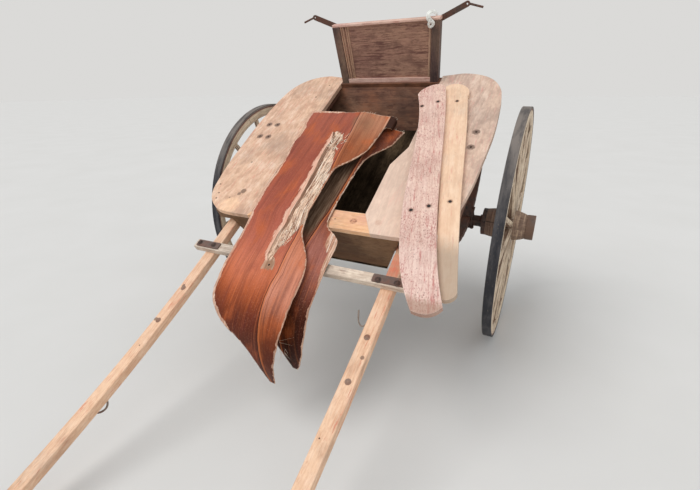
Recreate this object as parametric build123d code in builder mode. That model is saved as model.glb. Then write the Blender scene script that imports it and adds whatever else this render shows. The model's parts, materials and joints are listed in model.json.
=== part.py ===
"""A two-wheeled horse cart, stripped for repair and parked on the tips of its shafts.

Every piece is drawn with the cart level: X across it, -Y forward, and Z up from the axle's centre line. The
finished pieces are then tipped about the axle until the shaft tips meet the ground, and the whole is centred
over the middle of the ground that it covers.
Sizes are in millimetres.
"""
from build123d import *
from math import asin, atan2, cos, degrees, hypot, radians, sin, tan
import os

os.makedirs("parts", exist_ok=True)

# Wheels
WHEEL_RADIUS = 600
HALF_TRACK = 746
CAMBER = 1.35
TYRE_WIDTH = 42
TYRE_THICKNESS = 9
FELLOE_DEPTH = 50
FELLOE_WIDTH = 40
FELLOE_CHAMFER = 7
SPOKE_COUNT = 14
SPOKE_FOOT = (33, 44)
SPOKE_WAIST = (25, 34)
SPOKE_TONGUE = (23, 27)
SPOKE_WAIST_AT = 0.35

# Naves, measured along the axle from the wheel's own plane
NAVE_INNER_END = -137
NAVE_OUTER_END = 124
NAVE_BELLY_RADIUS = 80
NAVE_INNER_RADIUS = 72
NAVE_OUTER_RADIUS = 65
NAVE_WAIST_RADIUS = 62
SPOKE_RING = 12
HOOP_WIDTH = 22
BAND_WIDTH = 40
HOOP_THICKNESS = 4
BOX_RADIUS = 32
BOX_INNER_END = -139
BOX_OUTER_END = 80

# Axle
ARM_RADIUS = 20
ARM_CLEARANCE = 0.1
NUT_RADIUS = 26
NUT_THICKNESS = 14
NUT_CLEARANCE = 1
ARM_STUB_RADIUS = 12
ARM_STUB = 12
COLLAR_RADIUS = 34
COLLAR_THICKNESS = 11
COLLAR_CLEARANCE = 1
BED_SIZE = 42

# Springs
SPRING_X = 525
SPRING_WIDTH = 45
LEAF_COUNT = 5
LEAF_THICKNESS = 7
EYE_REACH = 330
SPRING_SAG = 110
EYE_RADIUS = 15
PIN_RADIUS = 7
SEAT_PAD = 6
CLIP_BOLT_RADIUS = 5
CLIP_PLATE = 8
CHEEK = 6
HANGER_WIDTH = 50

# Shafts and the bar across them
SHAFT_TOP = 497
SHAFT_HEIGHT = 37
SHAFT_WIDTH = 53
PACKING_THIN_EDGE = 3
SHAFT_REAR = -500
SHAFT_STRAIGHT = 845
SHAFT_TIP = 2120
SHAFT_RISE = 119
SHAFT_EDGE = 4
BAR_FRONT = 842
BAR_WIDTH = 45
BAR_THICKNESS = 28
BAR_BEYOND_STRAP = 17
STRAP_INNER_LAP = 33
STRAP_OUTER_LAP = 41
STRAP_WIDTH = 34
STRAP_THICKNESS = 5
TUG_BOLTS = (1045, 1212)
TUG_BOLT_RADIUS = 5

# Body
WING_TOP = 570
WING_THICKNESS = 22
WING_HOLE_RADIUS = 6
WING_HOLES_AT = (549, 32)
WING_HOLES_SPACING = (56, 108)
BODY_FRONT = 650
PANEL = 18
FLOOR_BOTTOM = 346
FLOOR_THICKNESS = 16
TUB_TOP_HALF = 428
TUB_BOTTOM_HALF = 341
REAR_TOP = -455
REAR_BOTTOM = -300
RAIL_HEIGHT = 22
RAIL_DEPTH = 100
OPENING_HALF = 250
OPENING_REAR = 240
SEAT_OPENING_HALF = 298
SEAT_OPENING_FRONT = 110
SEAT_RAIL_REAR = -400
BEARER = (50, 45)
BEARER_HALF_LENGTH = 562
BEARER_AT = 275
BATTEN_WIDTH = 45
BATTEN_AT = 607
BATTEN_GAP = 2
BATTEN_REACH = 90
VALANCE_FACE = 604
VALANCE = 16
VALANCE_DROP = 111
VALANCE_FRONT = 500
VALANCE_REAR = 0

# Points that the right wing's edge passes through: (distance from the cart's middle, distance ahead of the axle)
WING_TAIL = ((400, -522), (490, -507), (572, -455), (622, -370), (642, -270))
WING_FLANK = ((642, -270), (652, -130), (655, 0), (648, 150), (640, 300), (620, 440))
WING_SHOULDER = ((620, 440), (578, 570), (500, 634), (400, BODY_FRONT))
WING_TAIL_INNER = -500

# Seat back
SEAT_BACK_AT = -439
SEAT_BACK_LEAN = 14
POST_INSET = 12
POST_SPLAY = 18
POST_WIDTH = 43
POST_DEPTH = 40
POST_LENGTH = 299
POST_TUCK = 20
PANEL_RECESS = 12
BACK_PANEL = 12
BACK_RAIL = 26
BACK_CAP = 14
ARM_WIDTH = 27
ARM_THICKNESS = 5
ARM_ROOT_IN = 42
ARM_ROOT_DOWN = 15
ARM_END_OUT = 121
ARM_END_UP = 53
ARM_ROD_OUT = 196
ARM_ROD_UP = 33
ARM_ROD_RADIUS = 5

# Strip of cloth over the seat back
CLOTH = 3
CLOTH_IN = 58
CLOTH_WIDTH = 30
CLOTH_DROP = 60

# Loose boards, each by the points that its four edges pass through, and bent sheets
BOARD = 22
PALE_BOARD = (
    ((482, -277), (552, 71), (601, 353), (654, 628), (701, 845)),
    ((701, 845), (694, 877), (669, 891), (640, 880)),
    ((640, 880), (560, 560), (450, 60), (352, -358)),
    ((352, -358), (400, -385), (462, -352), (482, -277)),
)
PINK_BOARD = (
    ((363, -322), (449, 42), (541, 486), (606, 739), (677, 930)),
    ((677, 930), (650, 961), (581, 966)),
    ((581, 966), (523, 872), (451, 686), (388, 405), (239, -250)),
    ((239, -250), (262, -315), (319, -348), (363, -322)),
)
SHEET = 8
BEND_STEPS = 12
UPPER_FOLD = (35, 652)
UPPER_REST = -347
UPPER_FLANGE = 20
LOWER_FOLD = (100, 586)
LOWER_REST = -305
LOWER_FLANGE = 15

# Where the cart stands: tipped until the shaft noses and the cambered wheels touch the ground together
nose_radius = SHAFT_HEIGHT / 2
nose = (SHAFT_TIP, SHAFT_TOP + SHAFT_RISE - nose_radius)
tilt = radians(30)
for settling in range(5):
    lean = asin(sin(radians(CAMBER)) * cos(tilt))
    hub_height = WHEEL_RADIUS * cos(lean) + TYRE_WIDTH / 2 * sin(lean)
    tilt = atan2(nose[1], nose[0]) + asin((hub_height - nose_radius) / hypot(*nose))
toe = asin(sin(radians(CAMBER)) * sin(tilt))
rearmost = WHEEL_RADIUS * cos(toe) + TYRE_WIDTH / 2 * sin(toe)
foremost = -nose[0] * cos(tilt) - nose[1] * sin(tilt) - nose_radius
PARKED = Location((0, -(rearmost + foremost) / 2, hub_height), (degrees(tilt), 0, 0))

wing_bottom = WING_TOP - WING_THICKNESS
floor_top = FLOOR_BOTTOM + FLOOR_THICKNESS
shaft_bottom = SHAFT_TOP - SHAFT_HEIGHT
SIDES = {"left": -1, "right": 1}


def write(part, name, place=PARKED):
    """Moves a level piece to where it stands on the parked cart and writes it."""
    piece = part.moved(place)
    piece.label = name
    export_step(piece, f"parts/{name}.step")


def write_pair(part, name):
    """Writes a right-hand piece and its mirror image."""
    write(part, f"{name}_right")
    write(mirror(part, about=Plane.YZ), f"{name}_left")


def hub_plane(side):
    """The wheel's plane at its centre, facing outward, cambered so that the top leans out."""
    outward = (side * cos(radians(CAMBER)), 0, -sin(radians(CAMBER)))
    return Plane(origin=(side * HALF_TRACK, 0, 0), x_dir=(0, -1, 0), z_dir=outward)


def write_wheel_piece(part, name):
    """Writes a piece drawn about the wheel's own centre once for each wheel."""
    for side_name, side in SIDES.items():
        write(part, f"{name}_{side_name}", PARKED * hub_plane(side).location)


# Tyre, felloes and spokes
felloe_outer = WHEEL_RADIUS - TYRE_THICKNESS
felloe_inner = felloe_outer - FELLOE_DEPTH

with BuildPart() as tyre:
    with BuildSketch(Plane.XY.offset(-TYRE_WIDTH / 2)):
        Circle(WHEEL_RADIUS)
        Circle(felloe_outer, mode=Mode.SUBTRACT)
    extrude(amount=TYRE_WIDTH)
write_wheel_piece(tyre.part, "tyre")

with BuildPart() as felloes:
    with BuildSketch(Plane.XY.offset(-FELLOE_WIDTH / 2)):
        Circle(felloe_outer)
        Circle(felloe_inner, mode=Mode.SUBTRACT)
    extrude(amount=FELLOE_WIDTH)
    inner_rims = felloes.edges().filter_by(GeomType.CIRCLE).sort_by(lambda e: e.radius)[:2]
    chamfer(inner_rims, FELLOE_CHAMFER)
write_wheel_piece(felloes.part, "felloes")


def spoke_section(size):
    width, depth = size
    Rectangle(width, depth)
    chamfer(vertices(), 0.28 * min(size))


with BuildPart() as spoke:
    waist_radius = NAVE_BELLY_RADIUS + SPOKE_WAIST_AT * (felloe_inner - NAVE_BELLY_RADIUS)
    stations = ((NAVE_BELLY_RADIUS, SPOKE_FOOT), (waist_radius, SPOKE_WAIST), (felloe_outer, SPOKE_TONGUE))
    for radius, size in stations:
        with BuildSketch(Plane(origin=(radius, 0, 0), x_dir=(0, 1, 0), z_dir=(1, 0, 0))):
            spoke_section(size)
    loft(ruled=True)

with BuildPart() as spokes:
    with BuildSketch(Plane.XY.offset(-SPOKE_FOOT[1] / 2)):
        Circle(NAVE_BELLY_RADIUS + SPOKE_RING)
        Circle(NAVE_BELLY_RADIUS, mode=Mode.SUBTRACT)
    extrude(amount=SPOKE_FOOT[1])
    with PolarLocations(0, SPOKE_COUNT):
        add(spoke.part)
    Cylinder(felloe_inner, 2 * SPOKE_FOOT[1], mode=Mode.INTERSECT)
    Cylinder(NAVE_BELLY_RADIUS, 2 * SPOKE_FOOT[1], mode=Mode.SUBTRACT)
write_wheel_piece(spokes.part, "spokes")

# Nave with its hoop, band and box; the hub cap is missing
belly = SPOKE_FOOT[1] / 2
inner_hoop = (NAVE_INNER_END, NAVE_INNER_END + HOOP_WIDTH)
outer_hoop = (NAVE_OUTER_END - BAND_WIDTH, NAVE_OUTER_END)

with BuildPart() as nave:
    with BuildSketch(Plane.XZ):
        with BuildLine():
            Polyline(
                (BOX_RADIUS, NAVE_INNER_END),
                (NAVE_INNER_RADIUS - HOOP_THICKNESS, NAVE_INNER_END),
                (NAVE_INNER_RADIUS - HOOP_THICKNESS, inner_hoop[1]),
                (NAVE_INNER_RADIUS, inner_hoop[1]),
            )
            ThreePointArc(
                (NAVE_INNER_RADIUS, inner_hoop[1]),
                (NAVE_BELLY_RADIUS - 1, (inner_hoop[1] - belly) / 2),
                (NAVE_BELLY_RADIUS, -belly),
            )
            Line((NAVE_BELLY_RADIUS, -belly), (NAVE_BELLY_RADIUS, belly))
            ThreePointArc(
                (NAVE_BELLY_RADIUS, belly),
                ((NAVE_BELLY_RADIUS + NAVE_WAIST_RADIUS) / 2 + 3, (outer_hoop[0] + belly) / 2),
                (NAVE_WAIST_RADIUS, outer_hoop[0]),
            )
            Polyline(
                (NAVE_WAIST_RADIUS, outer_hoop[0]),
                (NAVE_OUTER_RADIUS - HOOP_THICKNESS, outer_hoop[0]),
                (NAVE_OUTER_RADIUS - HOOP_THICKNESS, NAVE_OUTER_END),
                (BOX_RADIUS, NAVE_OUTER_END),
                (BOX_RADIUS, NAVE_INNER_END),
            )
        make_face()
    revolve(axis=Axis.Z)
write_wheel_piece(nave.part, "nave")

with BuildPart() as hoop:
    with BuildSketch(Plane.XY.offset(inner_hoop[0])):
        Circle(NAVE_INNER_RADIUS)
        Circle(NAVE_INNER_RADIUS - HOOP_THICKNESS, mode=Mode.SUBTRACT)
    extrude(amount=HOOP_WIDTH)
write_wheel_piece(hoop.part, "nave_hoop")

with BuildPart() as box:
    with BuildSketch(Plane.XY.offset(BOX_INNER_END)):
        Circle(BOX_RADIUS)
        Circle(ARM_RADIUS + ARM_CLEARANCE, mode=Mode.SUBTRACT)
    extrude(amount=BOX_OUTER_END - BOX_INNER_END)
write_wheel_piece(box.part, "axle_box")

with BuildPart() as band:
    with BuildSketch(Plane.XY.offset(outer_hoop[0])):
        Circle(NAVE_OUTER_RADIUS)
        Circle(NAVE_OUTER_RADIUS - HOOP_THICKNESS, mode=Mode.SUBTRACT)
    extrude(amount=BAND_WIDTH)
    chamfer(band.edges().filter_by(GeomType.CIRCLE).sort_by(lambda e: -e.radius)[:2], 1.2)
write_wheel_piece(band.part, "nave_band")

# Spring geometry: concentric leaves, the long leaf on top
pack_bottom = BED_SIZE / 2 + SEAT_PAD
pack_height = LEAF_COUNT * LEAF_THICKNESS
pack_top = pack_bottom + pack_height
main_radius = (EYE_REACH**2 + SPRING_SAG**2) / (2 * SPRING_SAG)
pack_inner = main_radius - LEAF_THICKNESS / 2
pack_outer = pack_inner + pack_height
curve_centre = pack_top + pack_inner
eye_height = curve_centre - (main_radius - SPRING_SAG)
main_half_angle = degrees(asin(EYE_REACH / main_radius))

# Axle with its cambered arms
with BuildPart() as axle:
    Box(2 * (HALF_TRACK + BOX_INNER_END - COLLAR_THICKNESS / 2), BED_SIZE, BED_SIZE)
    for side in SIDES.values():
        arm_plane = hub_plane(side)
        collar_face = BOX_INNER_END - COLLAR_CLEARANCE
        with BuildSketch(arm_plane.offset(collar_face - COLLAR_THICKNESS)):
            Circle(COLLAR_RADIUS)
        extrude(amount=COLLAR_THICKNESS)
        with BuildSketch(arm_plane.offset(collar_face)):
            Circle(ARM_RADIUS)
        extrude(amount=BOX_OUTER_END + NUT_CLEARANCE - collar_face)
        with BuildSketch(arm_plane.offset(BOX_OUTER_END + NUT_CLEARANCE)):
            RegularPolygon(NUT_RADIUS, 6)
        extrude(amount=NUT_THICKNESS)
        with BuildSketch(arm_plane.offset(BOX_OUTER_END + NUT_CLEARANCE + NUT_THICKNESS)):
            Circle(ARM_STUB_RADIUS)
        extrude(amount=ARM_STUB)
        with BuildSketch(Plane.YZ.offset(side * SPRING_X - SPRING_WIDTH / 2)):
            with Locations((0, pack_bottom)):
                Rectangle(HANGER_WIDTH + 20, 2 * SEAT_PAD)
            with Locations((0, curve_centre)):
                Circle(pack_outer, mode=Mode.SUBTRACT)
        extrude(amount=SPRING_WIDTH)
write(axle.part, "axle")

# Springs, clips and hangers, drawn for the right side
with BuildPart() as spring:
    with BuildSketch(Plane.YZ.offset(SPRING_X - SPRING_WIDTH / 2)):
        for leaf in range(LEAF_COUNT):
            leaf_radius = main_radius + leaf * LEAF_THICKNESS
            half_angle = main_half_angle * (1 - leaf / (LEAF_COUNT + 1))
            with BuildLine():
                CenterArc((0, curve_centre), leaf_radius, -90 - half_angle, 2 * half_angle)
            trace(line_width=LEAF_THICKNESS)
        with Locations((EYE_REACH, eye_height), (-EYE_REACH, eye_height)):
            Circle(EYE_RADIUS)
        with Locations((EYE_REACH, eye_height), (-EYE_REACH, eye_height)):
            Circle(PIN_RADIUS, mode=Mode.SUBTRACT)
    extrude(amount=SPRING_WIDTH)
write_pair(spring.part, "spring")

clip_half_x = SPRING_WIDTH / 2 + CLIP_BOLT_RADIUS
clip_half_y = BED_SIZE / 2 + CLIP_BOLT_RADIUS
clip_plate_size = (2 * (clip_half_x + CLIP_BOLT_RADIUS + 4), 2 * (clip_half_y + CLIP_BOLT_RADIUS + 4))
with BuildPart() as clip:
    with BuildSketch(Plane.XY.offset(-BED_SIZE / 2)):
        with Locations((SPRING_X, 0)):
            RectangleRounded(*clip_plate_size, 8)
    extrude(amount=-CLIP_PLATE)
    with BuildSketch(Plane.YZ.offset(SPRING_X - clip_plate_size[0] / 2)):
        with Locations((0, pack_top + CLIP_PLATE / 2)):
            Rectangle(clip_plate_size[1], CLIP_PLATE)
        with Locations((0, curve_centre)):
            Circle(pack_inner, mode=Mode.INTERSECT)
    extrude(amount=clip_plate_size[0])
    with BuildSketch(Plane.XY.offset(-BED_SIZE / 2 - 2 * CLIP_PLATE)):
        with Locations((SPRING_X, 0)):
            with GridLocations(2 * clip_half_x, 2 * clip_half_y, 2, 2):
                Circle(CLIP_BOLT_RADIUS)
    extrude(amount=BED_SIZE + pack_top - BED_SIZE / 2 + 4 * CLIP_PLATE)
write_pair(clip.part, "axle_clip")

bearer_bottom = FLOOR_BOTTOM - BEARER[1]
cheek_span = SPRING_WIDTH + 2 * CHEEK
for end_name, end in {"front": -1, "rear": 1}.items():
    with BuildPart() as hanger:
        for cheek_x in (SPRING_X - cheek_span / 2, SPRING_X + SPRING_WIDTH / 2):
            with BuildSketch(Plane.YZ.offset(cheek_x)):
                with Locations((end * EYE_REACH, eye_height)):
                    Circle(EYE_RADIUS + 2)
                with Locations((end * BEARER_AT, bearer_bottom - CHEEK / 2)):
                    Rectangle(HANGER_WIDTH, CHEEK)
                make_hull()
            extrude(amount=CHEEK)
        with Locations((SPRING_X, end * BEARER_AT, bearer_bottom - CHEEK / 2)):
            Box(cheek_span, HANGER_WIDTH, CHEEK)
        with BuildSketch(Plane.YZ.offset(SPRING_X - cheek_span / 2 - CHEEK)):
            with Locations((end * EYE_REACH, eye_height)):
                Circle(PIN_RADIUS)
        extrude(amount=cheek_span + 2 * CHEEK)
    write_pair(hanger.part, f"hanger_{end_name}")

    with BuildPart() as bearer:
        with Locations((0, end * BEARER_AT, bearer_bottom + BEARER[1] / 2)):
            Box(2 * BEARER_HALF_LENGTH, BEARER[0], BEARER[1])
        chamfer(bearer.edges().filter_by(Axis.Y).group_by(Axis.Z)[0], 12)
    write(bearer.part, f"bearer_{end_name}")

# The tub's outline, which the shafts and what packs them follow
tub_height = wing_bottom - FLOOR_BOTTOM
side_slope = (TUB_TOP_HALF - TUB_BOTTOM_HALF) / tub_height
rear_slope = (REAR_BOTTOM - REAR_TOP) / tub_height
side_panel_run = PANEL * hypot(1, side_slope)
rear_panel_run = PANEL * hypot(1, rear_slope)


def tub_half(height):
    """Half the tub's outer width at a height."""
    return TUB_BOTTOM_HALF + side_slope * (height - FLOOR_BOTTOM)


def rear_at(height):
    """How far the tub's outer rear face stands from the axle at a height, forward positive."""
    return REAR_BOTTOM - rear_slope * (height - FLOOR_BOTTOM)


def trapezoid(bottom, top):
    """The tub's cross-section between two heights."""
    Polygon(
        (-tub_half(bottom), bottom),
        (tub_half(bottom), bottom),
        (tub_half(top), top),
        (-tub_half(top), top),
        align=None,
    )


# Shafts: straight beside the body, then a long gentle rise to a rounded nose
shaft_middle = SHAFT_TOP - SHAFT_HEIGHT / 2
shaft_inner = tub_half(SHAFT_TOP) + PACKING_THIN_EDGE
strap_inner = shaft_inner - STRAP_INNER_LAP
strap_outer = shaft_inner + SHAFT_WIDTH + STRAP_OUTER_LAP
with BuildPart() as shaft:
    with BuildSketch(Plane.YZ.offset(shaft_inner)):
        with BuildLine():
            Line((-SHAFT_REAR, shaft_middle), (-SHAFT_STRAIGHT, shaft_middle))
            TangentArc((-SHAFT_STRAIGHT, shaft_middle), (-nose[0], nose[1]), tangent=(-1, 0))
        trace(line_width=SHAFT_HEIGHT)
        with Locations((-nose[0], nose[1])):
            Circle(nose_radius)
    extrude(amount=SHAFT_WIDTH)
    fillet(shaft.faces().filter_by(Axis.X).edges(), SHAFT_EDGE)
    for bolt_at in TUG_BOLTS:
        with Locations((shaft_inner + SHAFT_WIDTH / 2, -bolt_at, SHAFT_TOP)):
            Cylinder(TUG_BOLT_RADIUS, 4 * SHAFT_HEIGHT, mode=Mode.SUBTRACT)
write_pair(shaft.part, "shaft")

with BuildPart() as crossbar:
    with BuildSketch(Plane.XY.offset(SHAFT_TOP)):
        with Locations((0, -BAR_FRONT + BAR_WIDTH / 2)):
            RectangleRounded(2 * (strap_outer + BAR_BEYOND_STRAP), BAR_WIDTH, 6)
    extrude(amount=BAR_THICKNESS)
    chamfer(crossbar.faces().sort_by(Axis.Z)[-1].edges().filter_by(Axis.X), 3)
write(crossbar.part, "crossbar")

with BuildPart() as bar_strap:
    with BuildSketch(Plane.XY.offset(SHAFT_TOP + BAR_THICKNESS)):
        with Locations(((strap_inner + strap_outer) / 2, -BAR_FRONT + BAR_WIDTH / 2)):
            RectangleRounded(strap_outer - strap_inner, STRAP_WIDTH, 5)
    extrude(amount=STRAP_THICKNESS)
write_pair(bar_strap.part, "bar_strap")

# Tub: floor, four panels that lean outward, and what packs the shafts off them
with BuildPart() as floor:
    with BuildSketch(Plane.XZ.offset(rear_at(floor_top))):
        trapezoid(FLOOR_BOTTOM, floor_top)
    extrude(amount=BODY_FRONT - rear_at(floor_top))
write(floor.part, "floor")

with BuildPart() as front_panel:
    with BuildSketch(Plane.XZ.offset(BODY_FRONT - PANEL)):
        trapezoid(floor_top, wing_bottom)
    extrude(amount=PANEL)
write(front_panel.part, "front_panel")

with BuildPart() as rear_panel:
    with BuildSketch(Plane.YZ.offset(-TUB_TOP_HALF)):
        Polygon(
            (-rear_at(floor_top), floor_top),
            (-rear_at(wing_bottom), wing_bottom),
            (-rear_at(wing_bottom) - rear_panel_run, wing_bottom),
            (-rear_at(floor_top) - rear_panel_run, floor_top),
            align=None,
        )
    extrude(amount=2 * TUB_TOP_HALF)
    with BuildSketch(Plane.XZ) as rear_outline:
        trapezoid(floor_top, wing_bottom)
    extrude(rear_outline.sketch, amount=BODY_FRONT, both=True, mode=Mode.INTERSECT)
write(rear_panel.part, "rear_panel")

with BuildPart() as side_panel:
    with BuildSketch(Plane.XZ):
        Polygon(
            (tub_half(floor_top), floor_top),
            (tub_half(wing_bottom), wing_bottom),
            (tub_half(wing_bottom) - side_panel_run, wing_bottom),
            (tub_half(floor_top) - side_panel_run, floor_top),
            align=None,
        )
    extrude(amount=BODY_FRONT - PANEL, both=True)
    with BuildSketch(Plane.YZ) as side_outline:
        Polygon(
            (-BODY_FRONT + PANEL, floor_top),
            (-rear_at(floor_top) - rear_panel_run, floor_top),
            (-rear_at(wing_bottom) - rear_panel_run, wing_bottom),
            (-BODY_FRONT + PANEL, wing_bottom),
            align=None,
        )
    extrude(side_outline.sketch, amount=BODY_FRONT, mode=Mode.INTERSECT)
write_pair(side_panel.part, "side_panel")

with BuildPart() as packing:
    with BuildSketch(Plane.XZ.offset(-BEARER_AT)):
        Polygon(
            (tub_half(shaft_bottom), shaft_bottom),
            (shaft_inner, shaft_bottom),
            (shaft_inner, SHAFT_TOP),
            (tub_half(SHAFT_TOP), SHAFT_TOP),
            align=None,
        )
    extrude(amount=BEARER_AT + BODY_FRONT - PANEL)
write_pair(packing.part, "shaft_packing")

def ahead(*points):
    """Points given by their distance ahead of the axle, as points of the plan."""
    return [(x, -distance) for x, distance in points]


# Wings, the rail that joins them in front, and what carries them
mitre = RAIL_DEPTH * tan(radians(30))
rail_front_half = OPENING_HALF + mitre
rail_back = BODY_FRONT - RAIL_DEPTH

with BuildPart() as wing:
    with BuildSketch(Plane.XY.offset(wing_bottom)):
        with BuildLine():
            Polyline(
                *ahead(WING_SHOULDER[-1]),
                (rail_front_half, -BODY_FRONT),
                (OPENING_HALF, -rail_back),
                (OPENING_HALF, -OPENING_REAR),
                (SEAT_OPENING_HALF, -SEAT_OPENING_FRONT),
                (SEAT_OPENING_HALF, -WING_TAIL_INNER),
                *ahead(WING_TAIL[0]),
            )
            Spline(*ahead(*WING_TAIL), tangents=((1, 0), (0.15, -1)))
            Spline(*ahead(*WING_FLANK))
            Spline(*ahead(*WING_SHOULDER), tangents=((-0.15, -1), (-1, -0.05)))
        make_face()
        with Locations((WING_HOLES_AT[0], -WING_HOLES_AT[1])):
            with GridLocations(*WING_HOLES_SPACING, 2, 2):
                Circle(WING_HOLE_RADIUS, mode=Mode.SUBTRACT)
    extrude(amount=WING_THICKNESS)
write_pair(wing.part, "wing")

with BuildPart() as front_rail:
    with BuildSketch(Plane.XY.offset(wing_bottom)):
        Polygon(
            (-rail_front_half, -BODY_FRONT),
            (rail_front_half, -BODY_FRONT),
            (OPENING_HALF, -rail_back),
            (-OPENING_HALF, -rail_back),
            align=None,
        )
    extrude(amount=WING_THICKNESS)
write(front_rail.part, "front_rail")

with BuildPart() as side_rail:
    rail_outer = tub_half(wing_bottom - RAIL_HEIGHT) - side_panel_run
    with BuildSketch(Plane.XZ.offset(SEAT_RAIL_REAR)):
        Polygon(
            (SEAT_OPENING_HALF, wing_bottom),
            (SEAT_OPENING_HALF, wing_bottom - RAIL_HEIGHT),
            (rail_outer, wing_bottom - RAIL_HEIGHT),
            (tub_half(wing_bottom) - side_panel_run, wing_bottom),
            align=None,
        )
    extrude(amount=SEAT_OPENING_FRONT - SEAT_RAIL_REAR)
write_pair(side_rail.part, "side_rail")

with BuildPart() as batten:
    batten_inner = tub_half(wing_bottom) + BATTEN_GAP
    with BuildSketch(Plane.XY.offset(SHAFT_TOP)):
        with Locations((batten_inner + BATTEN_REACH / 2, -BATTEN_AT)):
            Rectangle(BATTEN_REACH, BATTEN_WIDTH)
    extrude(amount=wing_bottom - SHAFT_TOP)
write_pair(batten.part, "wing_batten")

with BuildPart() as valance:
    with BuildSketch(Plane.YZ.offset(VALANCE_FACE - VALANCE)):
        with BuildLine():
            Polyline(
                (-VALANCE_REAR, wing_bottom),
                (-VALANCE_FRONT, wing_bottom),
                (-VALANCE_FRONT, wing_bottom - 0.77 * VALANCE_DROP),
                (-250, wing_bottom - VALANCE_DROP),
            )
            Spline(
                (-250, wing_bottom - VALANCE_DROP),
                (-170, wing_bottom - 0.95 * VALANCE_DROP),
                (-110, wing_bottom - 0.72 * VALANCE_DROP),
                (-55, wing_bottom - 0.42 * VALANCE_DROP),
                (-VALANCE_REAR, wing_bottom),
                tangents=((1, 0), (0.7, 1)),
            )
        make_face()
    extrude(amount=VALANCE)
write_pair(valance.part, "valance")

# Seat back on its cross rail
with BuildPart() as rear_rail:
    with BuildSketch(Plane.XZ.offset(REAR_TOP - 30)):
        Rectangle(2 * SEAT_OPENING_HALF, WING_THICKNESS, align=(Align.CENTER, Align.MIN))
    extrude(amount=rear_panel_run + 30)
write(Pos(0, 0, wing_bottom) * rear_rail.part, "rear_rail")

lean_plane = Plane(
    origin=(0, -SEAT_BACK_AT, WING_TOP),
    x_dir=(1, 0, 0),
    z_dir=(0, -cos(radians(SEAT_BACK_LEAN)), sin(radians(SEAT_BACK_LEAN))),
)
post_outer_foot = SEAT_OPENING_HALF - POST_INSET
post_outer_top = post_outer_foot + POST_SPLAY
post_flare = POST_SPLAY / POST_LENGTH

with BuildPart() as post:
    with BuildSketch(lean_plane):
        Polygon(
            (post_outer_foot - POST_TUCK * post_flare, -POST_TUCK),
            (post_outer_top, POST_LENGTH),
            (post_outer_top - POST_WIDTH, POST_LENGTH),
            (post_outer_foot - POST_TUCK * post_flare - POST_WIDTH, -POST_TUCK),
            align=None,
        )
    extrude(amount=-POST_DEPTH)
    split(bisect_by=Plane.XY.offset(WING_TOP), keep=Keep.TOP)
write_pair(post.part, "seat_post")


def between_posts(bottom, top):
    """The outline between the posts' inner faces, from one height to another."""
    low = post_outer_foot - POST_WIDTH + post_flare * bottom
    high = post_outer_foot - POST_WIDTH + post_flare * top
    Polygon((-low, bottom), (low, bottom), (high, top), (-high, top), align=None)


with BuildPart() as back_panel:
    with BuildSketch(lean_plane.offset(-PANEL_RECESS)):
        between_posts(BACK_RAIL, POST_LENGTH)
    extrude(amount=-BACK_PANEL)
write(back_panel.part, "seat_back_panel")

with BuildPart() as back_foot:
    with BuildSketch(lean_plane):
        between_posts(-POST_TUCK, BACK_RAIL)
    extrude(amount=-BACK_RAIL)
    split(bisect_by=Plane.XY.offset(WING_TOP), keep=Keep.TOP)
write(back_foot.part, "seat_back_foot")

with BuildPart() as back_cap:
    with BuildSketch(lean_plane):
        with Locations((0, POST_LENGTH + BACK_CAP / 2)):
            Rectangle(2 * post_outer_top, BACK_CAP)
    extrude(amount=-POST_DEPTH)
    chamfer(back_cap.edges().filter_by(Axis.X), 3)
write(back_cap.part, "seat_back_cap")

# Flat iron arms on the posts' rear faces, each drawn out to a rod
arm_root = (post_outer_top - ARM_ROOT_IN, POST_LENGTH - ARM_ROOT_DOWN)
arm_end = (post_outer_top + ARM_END_OUT, POST_LENGTH + ARM_END_UP)
arm_run = (arm_end[0] - arm_root[0], arm_end[1] - arm_root[1])
arm_middle = ((arm_root[0] + arm_end[0]) / 2, (arm_root[1] + arm_end[1]) / 2, 0)
arm_angle = degrees(atan2(arm_run[1], arm_run[0]))
with BuildPart() as arm:
    arm_back = lean_plane.offset(-POST_DEPTH - ARM_THICKNESS)
    with BuildSketch(arm_back):
        with Locations(Location(arm_middle, (0, 0, arm_angle))):
            SlotOverall(hypot(*arm_run) + ARM_WIDTH, ARM_WIDTH)
        with Locations(arm_end):
            Circle(4, mode=Mode.SUBTRACT)
    extrude(amount=ARM_THICKNESS)
    with BuildLine(lean_plane.offset(-POST_DEPTH - ARM_THICKNESS / 2)):
        rod_start = (arm_end[0] + ARM_WIDTH / 3, arm_end[1])
        rod_line = Line(rod_start, (post_outer_top + ARM_ROD_OUT, POST_LENGTH + ARM_ROD_UP))
    with BuildSketch(Plane(origin=rod_line @ 0, z_dir=rod_line % 0)):
        Circle(ARM_ROD_RADIUS)
    extrude(amount=rod_line.length)
write_pair(arm.part, "seat_arm")

# Strip of cloth hung over the seat back's cap
with BuildPart() as cloth:
    with BuildSketch(Plane.YZ.offset(post_outer_top - CLOTH_IN)):
        with Locations(Location((-SEAT_BACK_AT, WING_TOP, 0), (0, 0, -SEAT_BACK_LEAN))):
            Polygon(
                (-CLOTH, POST_LENGTH + BACK_CAP + CLOTH),
                (-CLOTH, POST_LENGTH + BACK_CAP - CLOTH_DROP),
                (0, POST_LENGTH + BACK_CAP - CLOTH_DROP),
                (0, POST_LENGTH + BACK_CAP),
                (POST_DEPTH, POST_LENGTH + BACK_CAP),
                (POST_DEPTH, POST_LENGTH + BACK_CAP / 2),
                (POST_DEPTH + CLOTH, POST_LENGTH + BACK_CAP / 2),
                (POST_DEPTH + CLOTH, POST_LENGTH + BACK_CAP + CLOTH),
                align=None,
            )
    extrude(amount=CLOTH_WIDTH)
write(cloth.part, "cloth_strip")

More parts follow.
